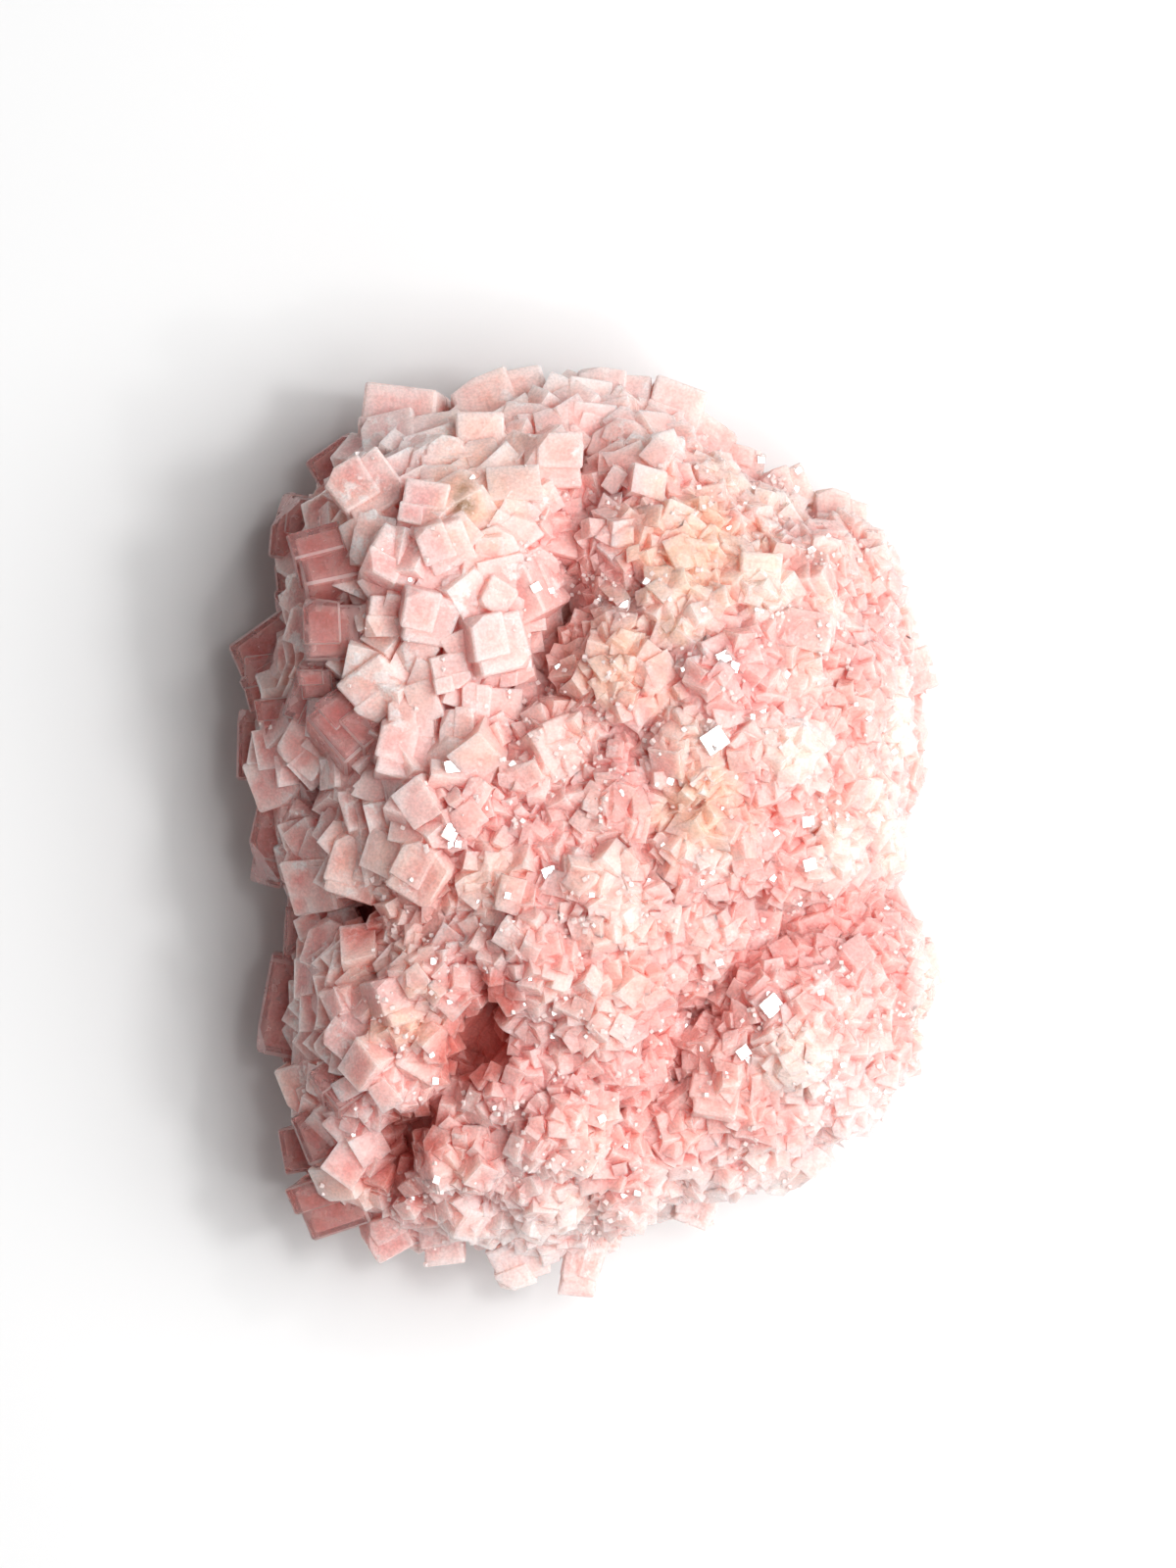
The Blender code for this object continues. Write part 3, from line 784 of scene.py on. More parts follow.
crust = {  # millimetres
    "levels": ({"Spacing": 1.5, "Smallest": 1.4, "Largest": 2.7, "Tilt": 0.3, "Fine Tilt": 1.2, "Spread": 0.8,
                "Coarse Share": 0.5, "Fine Share": 1.0, "Seed": 3},
               {"Spacing": 2.8, "Smallest": 3.0, "Largest": 5.0, "Tilt": 0.5, "Fine Tilt": 0.5, "Spread": 0.8,
                "Coarse Share": 1.0, "Fine Share": 0.0, "Seed": 6}),
    "lengths": ("Spacing", "Smallest", "Largest"),
    "pitThinning": 0.8,
    "stretch": ((0.8, 0.8, 0.8), (1.3, 1.1, 1.4)),
    "sizeSeed": 7,
    "stretchSeed": 3,
    "cloudyShare": 0.82,  # of a large cube's side, the rest is its clear outer part
    "warp": 0.45,
    "warpSize": 4.5,
    "warpFrom": 2.0,  # the warp fades out over this height above the base plane
    "chip": 0.42,  # how far the corners of the fine zone's cubes are knocked about
    "chipSize": 1.4,
    "proudReach": 4.6,  # height over the crust's floor at which a crystal has its full tip colour; lower down the painted crevice shade sets in
}


def crustTree():  # small blocks scattered over the floor between the cubes
    tree = Tree("growCrust", (
        ("Blocks", "Collection"), ("Spacing", "Float", 0.002), ("Smallest", "Float", 0.001),
        ("Largest", "Float", 0.002), ("Tilt", "Float", 0.3), ("Fine Tilt", "Float", 0.8),
        ("Spread", "Float", 0.5), ("Coarse Share", "Float", 0.3), ("Fine Share", "Float", 1.0),
        ("Seed", "Int", 0)))
    given = tree.given
    fine = tree.named("fine")
    room = tree.math("SUBTRACT", 1.0, tree.times(tree.named("pit"), crust["pitThinning"]))
    zone = tree.range(fine, 0.0, 1.0, given["Coarse Share"], given["Fine Share"])
    points = tree.add("GeometryNodeDistributePointsOnFaces", (
        ("Mesh", given["Geometry"]), ("Distance Min", given["Spacing"]), ("Density Max", 4e6),
        ("Density Factor", tree.times(zone, room)), ("Seed", given["Seed"])), distribute_method="POISSON")
    tilt = tree.range(fine, 0.0, 1.0, given["Tilt"], given["Fine Tilt"])
    tip = tree.add("ShaderNodeCombineXYZ", ((0, tilt), (1, tilt), (2, given["Spread"]))).outputs[0]
    back = tree.vector("SCALE", tip, -1.0).outputs[0]
    swing = tree.random(back, tip, given["Seed"], "FLOAT_VECTOR")
    facing = tree.named("facing", "FLOAT_VECTOR")
    upright = tree.add("FunctionNodeAlignRotationToVector", (("Vector", facing),), axis="Z").outputs[0]
    twist = tree.add("ShaderNodeCombineXYZ", ((2, tree.named("twist")),)).outputs[0]
    swung = tree.vector("ADD", twist, swing).outputs[0]
    turn = tree.add("FunctionNodeRotateRotation", ((0, upright), (1, swung)), rotation_space="LOCAL")
    size = tree.random(given["Smallest"], given["Largest"], crust["sizeSeed"])
    stretch = tree.random(*crust["stretch"], crust["stretchSeed"], "FLOAT_VECTOR")
    scale = tree.vector("SCALE", stretch, size).outputs[0]
    grown = tree.planted(points.outputs["Points"], given["Blocks"], (
        ("Rotation", turn.outputs[0]), ("Scale", scale)))
    tree.feed(tree.result, grown)
    return tree.tree


def clusterTree(salt, underside):  # fuses the core, the cubes and the crust, and cuts them flat underneath
    tree = Tree("growCluster", (
        ("Seeds", "Object"), ("Blocks", "Collection"), ("Small Blocks", "Collection"),
        ("Proud Reach", "Float", 0.004), ("Cloudy Share", "Float", 0.8)))
    given = tree.given
    core = given["Geometry"]
    seeds = tree.add("GeometryNodeObjectInfo", (("Object", given["Seeds"]),)).outputs["Geometry"]
    cloudy = tree.range(tree.named("clear"), 0.0, 1.0, 1.0, given["Cloudy Share"])
    size = tree.vector("SCALE", tree.named("size", "FLOAT_VECTOR"), cloudy).outputs[0]
    parts = [core, tree.grownOn(seeds, given["Blocks"], size)]
    group = crustTree()
    for level in crust["levels"]:
        links = (("Blocks", given["Small Blocks"]), ("Geometry", core))
        node = tree.add("GeometryNodeGroup", links, node_tree=group)
        for title, value in level.items():
            node.inputs[title].default_value = value * mm if title in crust["lengths"] else value
        parts.append(node.outputs[0])
    kept = tree.cutAtBase(tree.boolean("UNION", parts))
    near = tree.add("GeometryNodeProximity", (("Target", core),)).outputs["Distance"]
    kept = tree.stored(kept, "proud", tree.math("DIVIDE", near, given["Proud Reach"], clamp=True))
    for title in ("pit", "valley", "fine", "crest"):
        kept = tree.stored(kept, title, tree.sampled(core, title))
    salted = tree.finished(kept, salt)
    facing, place = (tree.add("GeometryNodeInput" + kind).outputs[0] for kind in ("Normal", "Position"))
    down, level = (tree.add("ShaderNodeSeparateXYZ", ((0, value),)).outputs[2] for value in (facing, place))
    under = tree.times(tree.math("LESS_THAN", down, -0.99), tree.math("LESS_THAN", level, 1e-5))
    based = tree.add("GeometryNodeSetMaterial", (
        ("Geometry", salted), ("Selection", under), ("Material", underside)))
    tree.feed(tree.result, based.outputs[0])
    return tree.tree


def cubesTree(name, material):  # fuses the blocks that grow on the seeds
    tree = Tree(name, (("Blocks", "Collection"),))
    cubes = tree.grownOn(tree.given["Geometry"], tree.given["Blocks"], tree.named("size", "FLOAT_VECTOR"))
    tree.feed(tree.result, tree.finished(tree.cutAtBase(tree.boolean("UNION", (cubes,))), material))
    return tree.tree


def runTree(target, group, values):  # runs the tree on the object and keeps its result as a plain mesh
    modifier = target.modifiers.new("Grow", "NODES")
    modifier.node_group = group
    for item in group.interface.items_tree:
        if item.item_type == "SOCKET" and item.in_out == "INPUT" and item.name in values:
            modifier[item.identifier] = values[item.name]
    graph = bpy.context.evaluated_depsgraph_get()
    result = bpy.data.meshes.new_from_object(target.evaluated_get(graph))
    for name in ("turn", "size", "kind", "clear", "facing", "twist"):  # read by the tree alone
        if name in result.attributes:
            result.attributes.remove(result.attributes[name])
    target.modifiers.remove(modifier)
    target.data = result


# ---- materials


class Shade(Nodes):
    def out(self, kind, output, links=(), **settings):
        return self.add(kind, links, **settings).outputs[output]

    def blend(self, share, a, b, mode="MIX"):
        links = ((0, share), (6, a), (7, b))
        return self.out("ShaderNodeMix", 2, links, data_type="RGBA", blend_type=mode)

    def noise(self, spot, scale, detail, **more):  # scale counts per metre
        links = [("Vector", spot), ("Scale", scale), ("Detail", detail)]
        links += [(key.capitalize(), value) for key, value in more.items()]
        return self.out("ShaderNodeTexNoise", "Fac", links)

    def cells(self, spot, scale):
        return self.out("ShaderNodeTexVoronoi", "Distance", (("Vector", spot), ("Scale", scale)))

    def spot(self):
        return self.out("ShaderNodeTexCoord", "Object")

    def attribute(self, name):
        return self.out("ShaderNodeAttribute", "Fac", attribute_name=name)

    def bump(self, height, strength, distance):
        links = (("Height", height), ("Strength", strength), ("Distance", distance))
        return self.out("ShaderNodeBump", 0, links)


class Finish(Shade):  # a material with one Principled BSDF
    def __init__(self, name):
        self.material = bpy.data.materials.new(name)
        self.material.use_nodes = True
        super().__init__(self.material.node_tree)
        self.shader = self.tree.nodes["Principled BSDF"]

    def give(self, values):
        for title, value in values.items():
            self.feed(self.shader.inputs[title], value)

    def scatter(self, weight, scale):
        self.give({"Subsurface Weight": weight, "Subsurface Scale": scale,
                   "Subsurface Radius": halite["subsurfaceReach"]})


def shaderGroup(name, inputs, outputs):
    group = bpy.data.node_groups.new(name, "ShaderNodeTree")
    for title, kind, value in inputs:
        made = group.interface.new_socket(title, in_out="INPUT", socket_type="NodeSocket" + kind)
        made.default_value = value
    for title in outputs:
        group.interface.new_socket(title, in_out="OUTPUT", socket_type="NodeSocketFloat")
    return Shade(group), group.nodes.new("NodeGroupInput").outputs, group.nodes.new("NodeGroupOutput").inputs


frost = {
    "wobble": (420.0, 3.0),  # scale per metre and detail
    "edgeWobble": 0.10,
    "frameWobble": 0.05,
    "grainRoughness": 0.65,
}


def makeFrostGroup():  # frosted edges and growth frames, from the place on each cube's face
    shade, given, result = shaderGroup(
        "cubeFrost", (("Edge Width", "Float", 0.30), ("Frames", "Float", 5.0), ("Grain Size", "Float", 1500.0)),
        ("Edge", "Frame", "Grain"))
    place = shade.out("ShaderNodeUVMap", 0, uv_map="UVMap")
    apart = shade.add("ShaderNodeSeparateXYZ", ((0, place),)).outputs
    sides = [shade.math("ABSOLUTE", shade.math("SUBTRACT", apart[k], 0.5)) for k in range(2)]
    fromMiddle = shade.math("MAXIMUM", *sides)
    spot = shade.spot()
    wobble = shade.noise(spot, *frost["wobble"])
    toEdge = shade.math("SUBTRACT", 0.5, fromMiddle)
    ragged = shade.plus(toEdge, shade.times(shade.math("SUBTRACT", wobble, 0.5), frost["edgeWobble"]))
    shade.feed(result["Edge"], shade.range(ragged, given["Edge Width"], 0.0))
    steps = shade.times(shade.plus(fromMiddle, shade.times(wobble, frost["frameWobble"])), given["Frames"])
    shade.feed(result["Frame"], shade.times(shade.math("PINGPONG", steps, 0.5), 2.0))
    grain = shade.noise(spot, given["Grain Size"], 4.0, roughness=frost["grainRoughness"])
    shade.feed(result["Grain"], grain)
    return shade.tree


patchShape = {
    "flatness": (1.0, 1.0, 0.35),  # a patch reaches further down than it is wide
    "edge": (1.0, 0.25),  # in radii: where it ends, and where it is full
    "ragged": 4.0,
}


def makeStainAndLitPatchGroup():  # a soft round patch about a point, with a ragged edge
    shade, given, result = shaderGroup(
        "stainAndLitPatch", (("Centre", "Vector", (0, 0, 0)), ("Radius", "Float", 0.008),
                         ("Raggedness", "Float", 0.5), ("Speck Scale", "Float", 250.0)), ("Mask",))
    spot = shade.spot()
    places = (spot, given["Centre"])
    flat, centre = (shade.vector("MULTIPLY", place, patchShape["flatness"]).outputs[0] for place in places)
    away = shade.vector("DISTANCE", flat, centre).outputs["Value"]
    speck = shade.noise(spot, given["Speck Scale"], 4.0)
    rough = shade.times(shade.math("SUBTRACT", speck, 0.5), shade.times(given["Raggedness"], patchShape["ragged"]))
    ratio = shade.math("DIVIDE", away, given["Radius"])
    shade.feed(result["Mask"], shade.range(shade.plus(ratio, rough), *patchShape["edge"]))
    return shade.tree


halite = {
    "tip": (0.89, 0.56, 0.515, 1),
    "face": (0.83, 0.51, 0.485, 1),
    # a darker, deeper pink down in the crevices between the crystals: painted shade
    "creviceShade": (0.86, 0.42, 0.39, 1),
    # a darker, saturated mauve on the left side, away from the key light: painted shade
    "mauve": (0.75, 0.295, 0.275, 1),
    "rose": (0.93, 0.74, 0.71, 1),
    # partly the salt's own cream tint, partly painted light on the crests towards the lit right side
    "veil": (0.92, 0.68, 0.64, 1),
    "cream": (0.95, 0.75, 0.68, 1),
    # a lighter colour for patches on the top and bottom flanks: painted light
    "pale": (0.96, 0.83, 0.81, 1),
    # a darker red in the valleys: painted shade
    "valley": (0.82, 0.33, 0.30, 1),
    # a dark red-brown in the deep holes: painted shade
    "pit": (0.66, 0.195, 0.165, 1),
    "beige": (0.90, 0.60, 0.42, 1),
    "honey": (0.93, 0.66, 0.54, 1),
    "lilac": (0.84, 0.50, 0.50, 1),
    "rind": (0.95, 0.83, 0.81, 1),  # a thin rind of frosted salt in patches
    "brown": (0.30, 0.17, 0.075, 1),
    "frost": (0.91, 0.725, 0.695, 1),
    "subsurface": 0.94,
    "subsurfaceReach": (1.0, 0.8, 0.73),
    "subsurfaceScale": 0.0035,
    "clearness": 0.05,
    "ior": 1.544,
    "shine": 0.2,
    "clouds": (85.0, 5.0),  # of each noise, its scale per metre and its detail
    "drift": (75.0, 3.0),
    "veils": (260.0, 5.0),
    "rindNoise": (190.0, 6.0),
    "dust": (3200.0, 2.0),
    "crumbs": 1100.0,
    "patchLift": 2.0,  # patches: x, y, radius, about a place this far above the mound
    "beigePatches": ((-13.8, 37.2, 6.0), (12.0, 32.0, 11.0), (12.6, 2.0, 7.0), (-21.7, -22.5, 4.5),
                     (3.0, 19.0, 8.0)),
    # the pale patches sit on the top and bottom flanks: painted light
    "palePatches": ((-8.0, -50.0, 14.0), (14.0, -47.0, 13.0), (0.0, 52.0, 9.0), (30.0, -34.0, 10.0),
                    (-22.0, 44.0, 7.0)),
    "brownPatches": ((-2.9, 22.0, 3.4), (-14.4, 37.5, 2.2), (-4.5, 25.0, 2.0)),
}

# Where each tint of the salt, painted shade and painted light among them, starts and where it is full,
# then its least and its greatest share; or its share alone.
salting = {
    "height": (0.0, 0.8),
    "heightCurve": 0.8,
    "face": 0.75,
    "leftShade": (-0.016, -0.034),  # metres from the middle, towards the left, the side away from the key light: painted shade
    "honey": (0.50, 0.66, 0.0, 0.5),
    "lilac": (0.48, 0.34, 0.0, 0.5),
    "creamClouds": (0.34, 0.56, 0.25, 1.0),
    "creamTowardsLight": (-0.02, 0.028, 0.2, 1.0),
    "crease": (0.7, 0.0),
    "creaseShare": 0.55,
    "beige": 0.6,
    "pale": 0.7,
    "brown": 0.9,
    "veil": (0.42, 0.66),
    "veilByTone": (0.0, 1.0, 0.25, 0.85),
    "rose": (0.54, 0.32, 0.0, 0.45),
    "frames": (0.35, 0.8),
    "framesShare": 0.4,
    "valley": 0.55,
    "pit": (0.1, 0.7),
    "pitUnder": (1.0, 0.6),
    "edgeByZone": (0.0, 1.0, 0.55, 0.1),
    "rim": 0.22,
    "grain": (0.5, 0.64),
    "grainShare": 0.35,
    "rind": (0.575, 0.64),
    "rindAbove": (0.12, 0.4),
    "rindShare": 0.75,
    "dust": (0.36, 0.64, 0.90, 1.08),  # both lighten or darken the whole colour
    "toneLight": (0.0, 1.0, -0.03, 0.05),
    "dull": (0.35, 0.68, 0.10, 0.34),
    "dullByCube": (0.3, 1.0, 0.0, 0.22),
    "dullFace": 0.12,
    "toneSplit": 7.3,  # gives each kind of cube another dullness
    "crumbs": 1.2,
    "rindCrumbs": 2.5,
    "framesRelief": 0.2,
    "grainRelief": 0.8,
    "bump": (0.5, 0.00015),
}


# round patches on the mound: the beige and brown ones are stains of the salt's own colour, the pale ones are
# painted light
def applyStainsAndLitPatches(shade, colour, group, kind):
    for x, y, radius in halite[kind + "Patches"]:
        centre = ontoMiddle(Vector((x, y, crownHeight(x, y) + halite["patchLift"])))
        links = (("Centre", centre), ("Radius", radius * mm))
        mask = shade.out("ShaderNodeGroup", "Mask", links, node_tree=group)
        colour = shade.blend(shade.times(mask, salting[kind]), colour, halite[kind])
    return colour


def haliteMaterial(name, frostGroup, patchGroup):
    made = Finish(name)
    spot = made.spot()
    frosted = made.add("ShaderNodeGroup", (), node_tree=frostGroup).outputs
    proud, pit, valley, fine, crest, tone, rim, bare = (
        made.attribute(n) for n in ("proud", "pit", "valley", "fine", "crest", "tone", "rim", "bare"))
    clouds, drift, dust = (made.noise(spot, *halite[n]) for n in ("clouds", "drift", "dust"))
    veils = made.noise(spot, *halite["veils"], distortion=0.9)
    across = made.out("ShaderNodeSeparateXYZ", 0, ((0, spot),))
    cube = made.math("GREATER_THAN", tone, 0.01)  # 0 on the rough floor between the cubes

    # paler at the crystals' tips, darker down between them: painted shade in the crevices
    height = made.math("POWER", made.range(proud, *salting["height"]), salting["heightCurve"])
    colour = made.blend(height, halite["creviceShade"], halite["tip"])
    colour = made.blend(made.times(bare, salting["face"]), colour, halite["face"])
    # darker mauve towards the left side, which faces away from the key light: painted shade
    colour = made.blend(made.times(made.range(across, *salting["leftShade"]), height), colour, halite["mauve"])
    colour = made.blend(made.range(drift, *salting["honey"]), colour, halite["honey"])
    colour = made.blend(made.range(drift, *salting["lilac"]), colour, halite["lilac"])
    # cream on the crests of the lumps, more towards the right where the key light comes from: partly a real
    # tint, partly painted light
    high = made.times(crest, made.range(clouds, *salting["creamClouds"]))
    high = made.times(high, made.range(across, *salting["creamTowardsLight"]))
    colour = made.blend(high, colour, halite["cream"])
    # darker in the creases between the lumps of the fine crust: painted shade
    crease = made.times(made.times(made.range(crest, *salting["crease"]), fine), salting["creaseShare"])
    colour = made.blend(crease, colour, halite["creviceShade"])
    colour = applyStainsAndLitPatches(made, colour, patchGroup, "beige")
    # lighter patches on the top and bottom flanks: painted light
    colour = applyStainsAndLitPatches(made, colour, patchGroup, "pale")
    veil = made.times(made.range(veils, *salting["veil"]), made.range(tone, *salting["veilByTone"]))
    colour = made.blend(made.times(veil, height), colour, halite["veil"])
    framed = made.range(frosted["Frame"], *salting["frames"])
    frames = made.times(framed, made.times(bare, salting["framesShare"]))
    rosy = made.math("MAXIMUM", made.range(veils, *salting["rose"]), frames)
    colour = made.blend(rosy, colour, halite["rose"], "MULTIPLY")
    colour = applyStainsAndLitPatches(made, colour, patchGroup, "brown")
    # darker red down in the valleys, by their depth: painted shade
    colour = made.blend(made.times(valley, salting["valley"]), colour, halite["valley"])
    # dark red-brown down in the deep holes: painted shade
    deep = made.times(made.range(pit, *salting["pit"]), made.range(proud, *salting["pitUnder"]))
    colour = made.blend(deep, colour, halite["pit"])
    edges = made.times(frosted["Edge"], made.times(cube, made.range(fine, *salting["edgeByZone"])))
    edges = made.math("MAXIMUM", edges, made.times(rim, salting["rim"]))
    colour = made.blend(made.times(edges, height), colour, halite["frost"])
    grain = made.times(made.range(frosted["Grain"], *salting["grain"]), height)
    colour = made.blend(made.times(grain, salting["grainShare"]), colour, halite["frost"])
    rind = made.range(made.noise(spot, *halite["rindNoise"], roughness=0.68), *salting["rind"])
    rind = made.times(rind, made.math("SUBTRACT", 1.0, pit))
    rind = made.times(rind, made.range(proud, *salting["rindAbove"]))
    colour = made.blend(made.times(rind, salting["rindShare"]), colour, halite["rind"])
    value = made.plus(made.range(dust, *salting["dust"]), made.range(tone, *salting["toneLight"]))
    colour = made.out("ShaderNodeHueSaturation", 0, (("Value", value), ("Color", colour)))

    byCube = made.range(made.math("FRACT", made.times(tone, salting["toneSplit"])), *salting["dullByCube"])
    dull = made.plus(made.range(veils, *salting["dull"]), byCube)
    dull = made.math("ADD", dull, made.times(bare, salting["dullFace"]), clamp=True)

    cells = made.cells(spot, halite["crumbs"])
    crumbs = made.times(made.times(cells, fine), salting["crumbs"])
    crumbs = made.plus(crumbs, made.times(made.times(cells, rind), salting["rindCrumbs"]))
    frames = made.times(made.times(frosted["Frame"], cube), salting["framesRelief"])
    raised = made.plus(made.plus(made.times(frosted["Grain"], salting["grainRelief"]), frames), crumbs)

    made.give({"Base Color": colour, "Roughness": dull, "Normal": made.bump(raised, *salting["bump"]),
               "IOR": halite["ior"], "Specular IOR Level": halite["shine"], "Metallic": 0.0,
               "Transmission Weight": halite["clearness"], "Diffuse Roughness": 1.0})
    made.scatter(halite["subsurface"], halite["subsurfaceScale"])
    return made.material


clearSalt = {  # the clear outer part of the large cubes
    "deep": (0.88, 0.43, 0.41, 1),
    "light": (0.93, 0.62, 0.60, 1),
    "rim": (0.98, 0.80, 0.78, 1),
    "veils": (500.0, 4.0),
    "grain": (2200.0, 3.0),
    "tints": (0.35, 0.65),
    "roughness": (0.3, 0.7, 0.05, 0.35),
    "rimRoughness": 0.2,
    "bump": (0.3, 0.0001),
    "transmission": 0.85,
}


def clearMaterial():
    made = Finish("haliteClear")
    spot = made.spot()
    veils, rim = made.noise(spot, *clearSalt["veils"]), made.attribute("rim")
    colour = made.blend(made.range(veils, *clearSalt["tints"]), clearSalt["deep"], clearSalt["light"])
    colour = made.blend(rim, colour, clearSalt["rim"])
    rough = made.plus(made.range(veils, *clearSalt["roughness"]), made.times(rim, clearSalt["rimRoughness"]))
    made.give({"Base Color": colour, "Roughness": rough, "IOR": halite["ior"], "Metallic": 0.0,
               "Normal": made.bump(made.noise(spot, *clearSalt["grain"]), *clearSalt["bump"]),
               "Transmission Weight": clearSalt["transmission"]})
    return made.material


whiteSalt = {
    "haliteGlint": {"tint": (0.98, 0.88, 0.86, 1), "roughness": (0.05, 0.42), "shine": 1.0},
    "haliteGrain": {"tint": (0.98, 0.76, 0.72, 1), "roughness": (0.2, 0.4), "shine": 0.5},
    "clouds": (900.0, 3.0),
    "tints": (0.35, 0.65),
    "dull": (0.42, 0.66),
    "scatter": (0.5, 0.001),
}


def whiteMaterial(name):  # the bright faces and the loose grains
    made, own = Finish(name), whiteSalt[name]
    clouds = made.noise(made.spot(), *whiteSalt["clouds"])
    made.give({"Base Color": made.blend(made.range(clouds, *whiteSalt["tints"]), own["tint"], halite["veil"]),
               "Roughness": made.range(clouds, *whiteSalt["dull"], *own["roughness"]),
               "IOR": halite["ior"], "Metallic": 0.0, "Specular IOR Level": own["shine"]})
    made.scatter(*whiteSalt["scatter"])
    return made.material


cutSalt = {  # the underside, where the specimen was parted from its bed
    "dark": (0.80, 0.47, 0.43, 1),
    "light": (0.93, 0.72, 0.67, 1),
    "seams": (0.66, 0.34, 0.30, 1),
    "patches": (60.0, 6.0),
    "cells": 260.0,
    "tints": (0.35, 0.65),
    "seamShare": (0.2, 0.9, 0.0, 0.5),
    "roughness": (0.3, 0.7, 0.45, 0.7),
    "bump": (0.5, 0.0003),
    "scatter": (0.4, 0.0015),
}


def cutMaterial():
    made = Finish("haliteCut")
    spot = made.spot()
    patch, cells = made.noise(spot, *cutSalt["patches"]), made.cells(spot, cutSalt["cells"])
    colour = made.blend(made.range(patch, *cutSalt["tints"]), cutSalt["dark"], cutSalt["light"])
    colour = made.blend(made.range(cells, *cutSalt["seamShare"]), colour, cutSalt["seams"])
    made.give({"Base Color": colour, "Roughness": made.range(patch, *cutSalt["roughness"]),
               "Normal": made.bump(cells, *cutSalt["bump"]), "IOR": halite["ior"]})
    made.scatter(*cutSalt["scatter"])
    return made.material


# ---- the four pieces


def warp(mesh):  # pulls the cubes slightly out of true, but leaves the base plane flat
    reach, size = crust["warp"] * mm, crust["warpSize"] * mm
    fine = mesh.attributes.get("fine")
    for vertex in mesh.vertices:
        low = min(1.0, max(0.0, vertex.co.z / (crust["warpFrom"] * mm)))
        pull = noise.noise_vector(vertex.co / size) * reach
        if fine:
            chip = noise.noise_vector(vertex.co / (crust["chipSize"] * mm)) * crust["chip"] * mm
            pull += chip * fine.data[vertex.index].value
        vertex.co += pull * low


def surfaceOf(mesh):
    return BVHTree.FromPolygons([v.co for v in mesh.vertices], [f.vertices for f in mesh.polygons])


def makeCubes(name, seeds, blockSet, material):
    cubes = seedObject(name, seeds)
    runTree(cubes, cubesTree("grow" + name[len("halite"):], material), {"Blocks": blockSet})
    return cubes


def makeCluster():
    core = makeCore()
    print("core made:", len(core.data.polygons), "faces")
    rng = random.Random(blocks["seed"])
    kinds = [rng.choice(blocks["ledgeCounts"]) for _ in range(blocks["ledgedKinds"])]
    kinds += [i % 2 for i in range(blocks["middleKinds"])]
    large = blockCollection("block", kinds, blocks["largeNicks"], blocks["chamfer"], rng)
    bricks = blockCollection("brick", [0] * blocks["middleKinds"], blocks["middleNicks"], 0, rng)
    for block in bricks.objects:
        large.objects.link(block)
    small = blockCollection("grain", [0] * blocks["smallKinds"], blocks["smallNicks"], 0, rng)
    rng = random.Random(filling["seed"])
    placed = placedSeeds(rng)
    placed += fillSeeds(rng, placed)
    plain = blockCollection("plain", (0,), 0, 0, rng)

    seeds = seedObject("cubes", placed)
    salt = haliteMaterial("haliteSalt", makeFrostGroup(), makeStainAndLitPatchGroup())
    runTree(core, clusterTree(salt, cutMaterial()), {
        "Seeds": seeds, "Blocks": large, "Small Blocks": small,
        "Proud Reach": crust["proudReach"] * mm, "Cloudy Share": crust["cloudyShare"]})
    core.name = core.data.name = "haliteCrystals"
    warp(core.data)
    bpy.data.objects.remove(seeds)

    clearSeeds = [row for row in placed if isClear(row)]
    clearCubes = makeCubes("haliteClearCubes", clearSeeds, large, clearMaterial())
    warp(clearCubes.data)
    surface = surfaceOf(core.data)
    bright = makeCubes("haliteGlints", glintSeeds(surface), plain, whiteMaterial("haliteGlint"))
    dust = makeCubes("haliteGrains", grainSeeds(surface), plain, whiteMaterial("haliteGrain"))
    for block in {*large.objects, *small.objects, *plain.objects}:
        bpy.data.objects.remove(block)
    for collection in (large, bricks, small, plain):
        bpy.data.collections.remove(collection)
    pieces = (core, clearCubes, bright, dust)
    for piece in pieces:
        print(piece.name, "grown:", len(piece.data.polygons), "triangles")
    return pieces


# ---- the studio: a pale floor, a soft key light from the right, and a camera straight above

studio = {
    "cameraHeight": 1.0,
    "frameLevel": 0.015,  # the height at which the frame is frameTall tall
    "frameTall": 0.184,
    "lookAt": (-0.00018, 0.00552),
    "sensor": 36.0,
    "clip": (0.01, 20),
    "keyFrom": (0.78, 0.04, 1.22),
    "keyDistance": 1.1,
    "keySize": 1.2,
    "keyPower": 15.4,
    "keyHeartSize": 0.17,  # the key light is brighter in its middle
    "keyHeartPower": 2.2,
    "heartBefore": 0.02,
    "fillFrom": (0.35, -0.85, 0.85),
    "fillPower": 3.0,
    "glintsFrom": ((0.5, 0.62, 1.1), (0.62, -0.5, 1.0), (0.2, 0.1, 1.2)),
    "glintBefore": 0.1,
    "glintSize": 0.07,
    "glintPower": 0.55,
    "worldLight": 0.12,
    "floorSize": 6.0,
    "floorRoughness": 0.8,
    "floorShine": 0.1,
    "floorColour": (0.765, 0.765, 0.765, 1),
}


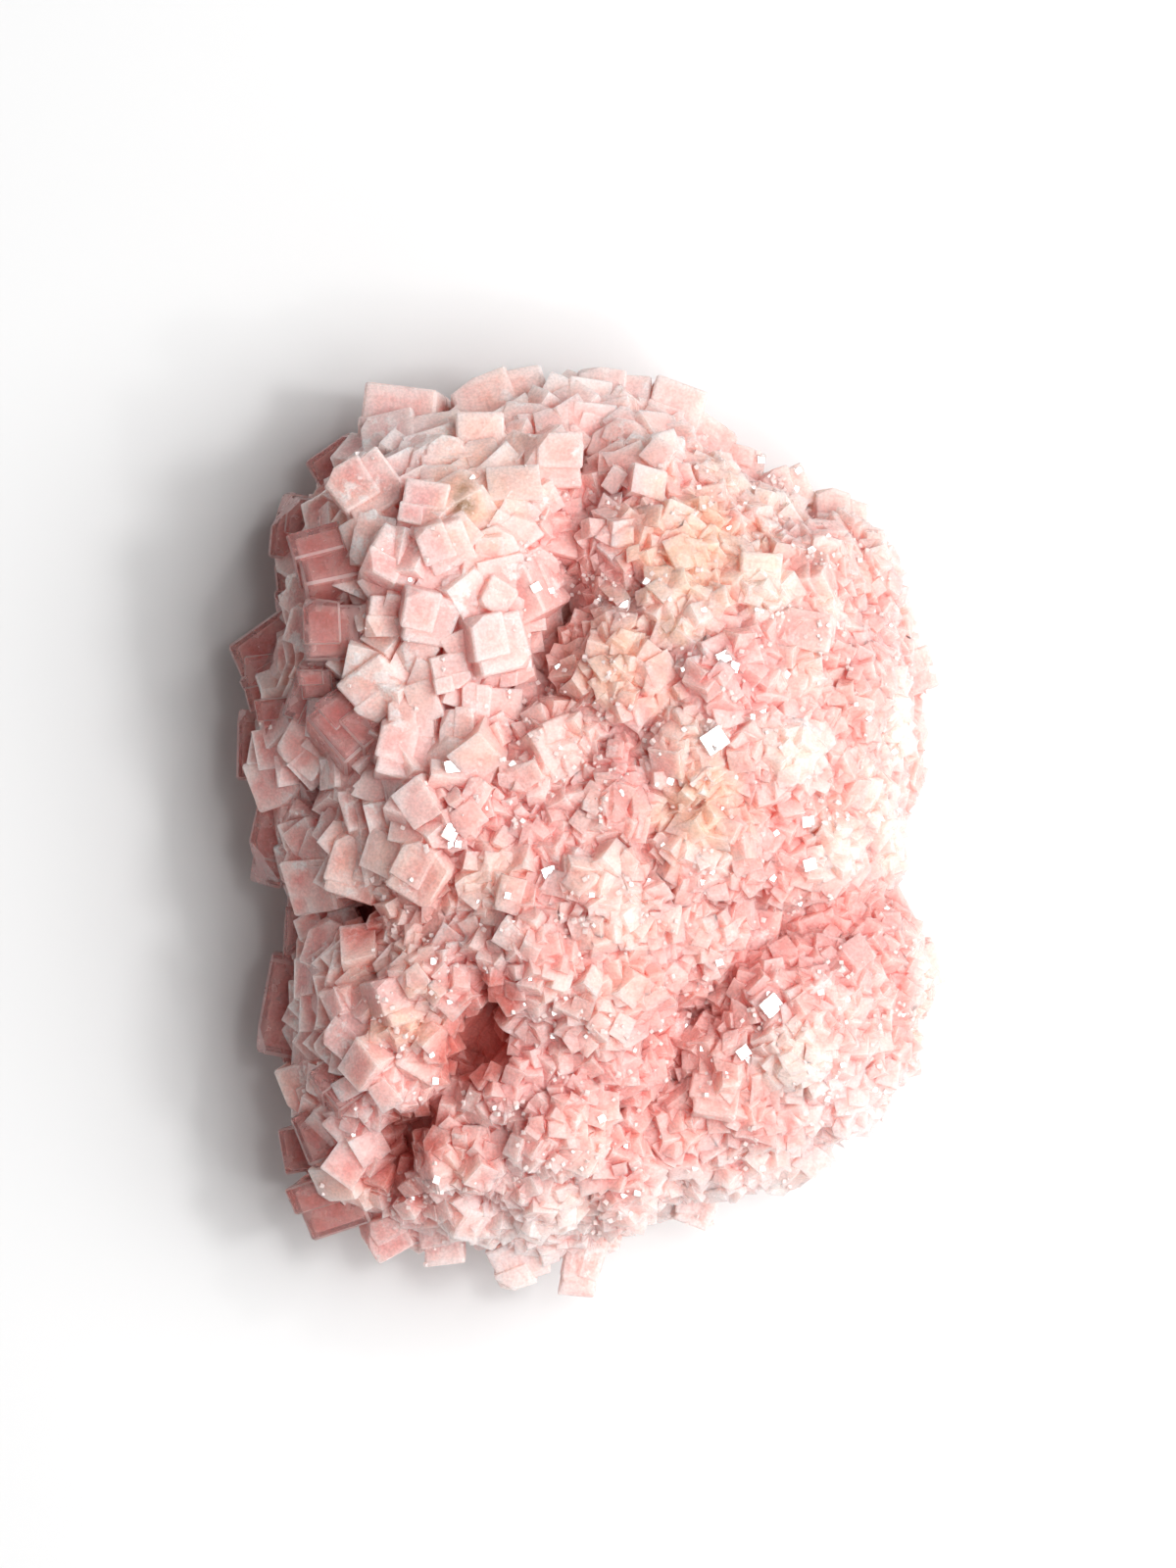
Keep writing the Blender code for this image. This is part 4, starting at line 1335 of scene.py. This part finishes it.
def makeFloor():
    bm = bmesh.new()
    bmesh.ops.create_grid(bm, x_segments=1, y_segments=1, size=studio["floorSize"] / 2)
    floor = makeObject("floor", bm)
    made = Finish("paleFloor")
    made.give({"Base Color": studio["floorColour"], "Roughness": studio["floorRoughness"],
               "Specular IOR Level": studio["floorShine"]})
    floor.data.materials.append(made.material)


def addLamp(name, direction, distance, size, power):
    way = Vector(direction).normalized()
    light = bpy.data.lights.new(name, "AREA")
    light.shape = "DISK"
    light.size = size
    light.energy = power
    lamp = bpy.data.objects.new(name, light)
    lamp.location = way * distance
    lamp.rotation_euler = way.to_track_quat("Z", "Y").to_euler()
    bpy.context.scene.collection.objects.link(lamp)


def makeLights():
    far = studio["keyDistance"]
    addLamp("key", studio["keyFrom"], far, studio["keySize"], studio["keyPower"])
    heartSize, heartPower = studio["keyHeartSize"], studio["keyHeartPower"]
    addLamp("keyHeart", studio["keyFrom"], far - studio["heartBefore"], heartSize, heartPower)
    addLamp("fill", studio["fillFrom"], far, studio["keySize"], studio["fillPower"])
    for direction in studio["glintsFrom"]:
        addLamp("glint", direction, far - studio["glintBefore"], studio["glintSize"], studio["glintPower"])
    world = bpy.data.worlds.new("studio")
    world.use_nodes = True
    background = world.node_tree.nodes["Background"].inputs
    background["Color"].default_value = (1, 1, 1, 1)
    background["Strength"].default_value = studio["worldLight"]
    bpy.context.scene.world = world


def makeCamera():
    reach = studio["cameraHeight"] - studio["frameLevel"]
    view = bpy.data.cameras.new("above")
    view.sensor_width = studio["sensor"]
    view.lens = studio["sensor"] * reach / studio["frameTall"]
    view.clip_start, view.clip_end = studio["clip"]
    camera = bpy.data.objects.new("above", view)
    camera.location = (*studio["lookAt"], studio["cameraHeight"])
    bpy.context.scene.collection.objects.link(camera)
    bpy.context.scene.camera = camera


makeCamera()
makeFloor()
makeLights()
bpy.context.scene.view_settings.view_transform = "Standard"
print("studio ready")

pieces = makeCluster()
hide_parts("halite_cluster")
for piece in pieces:
    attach(piece, "root")
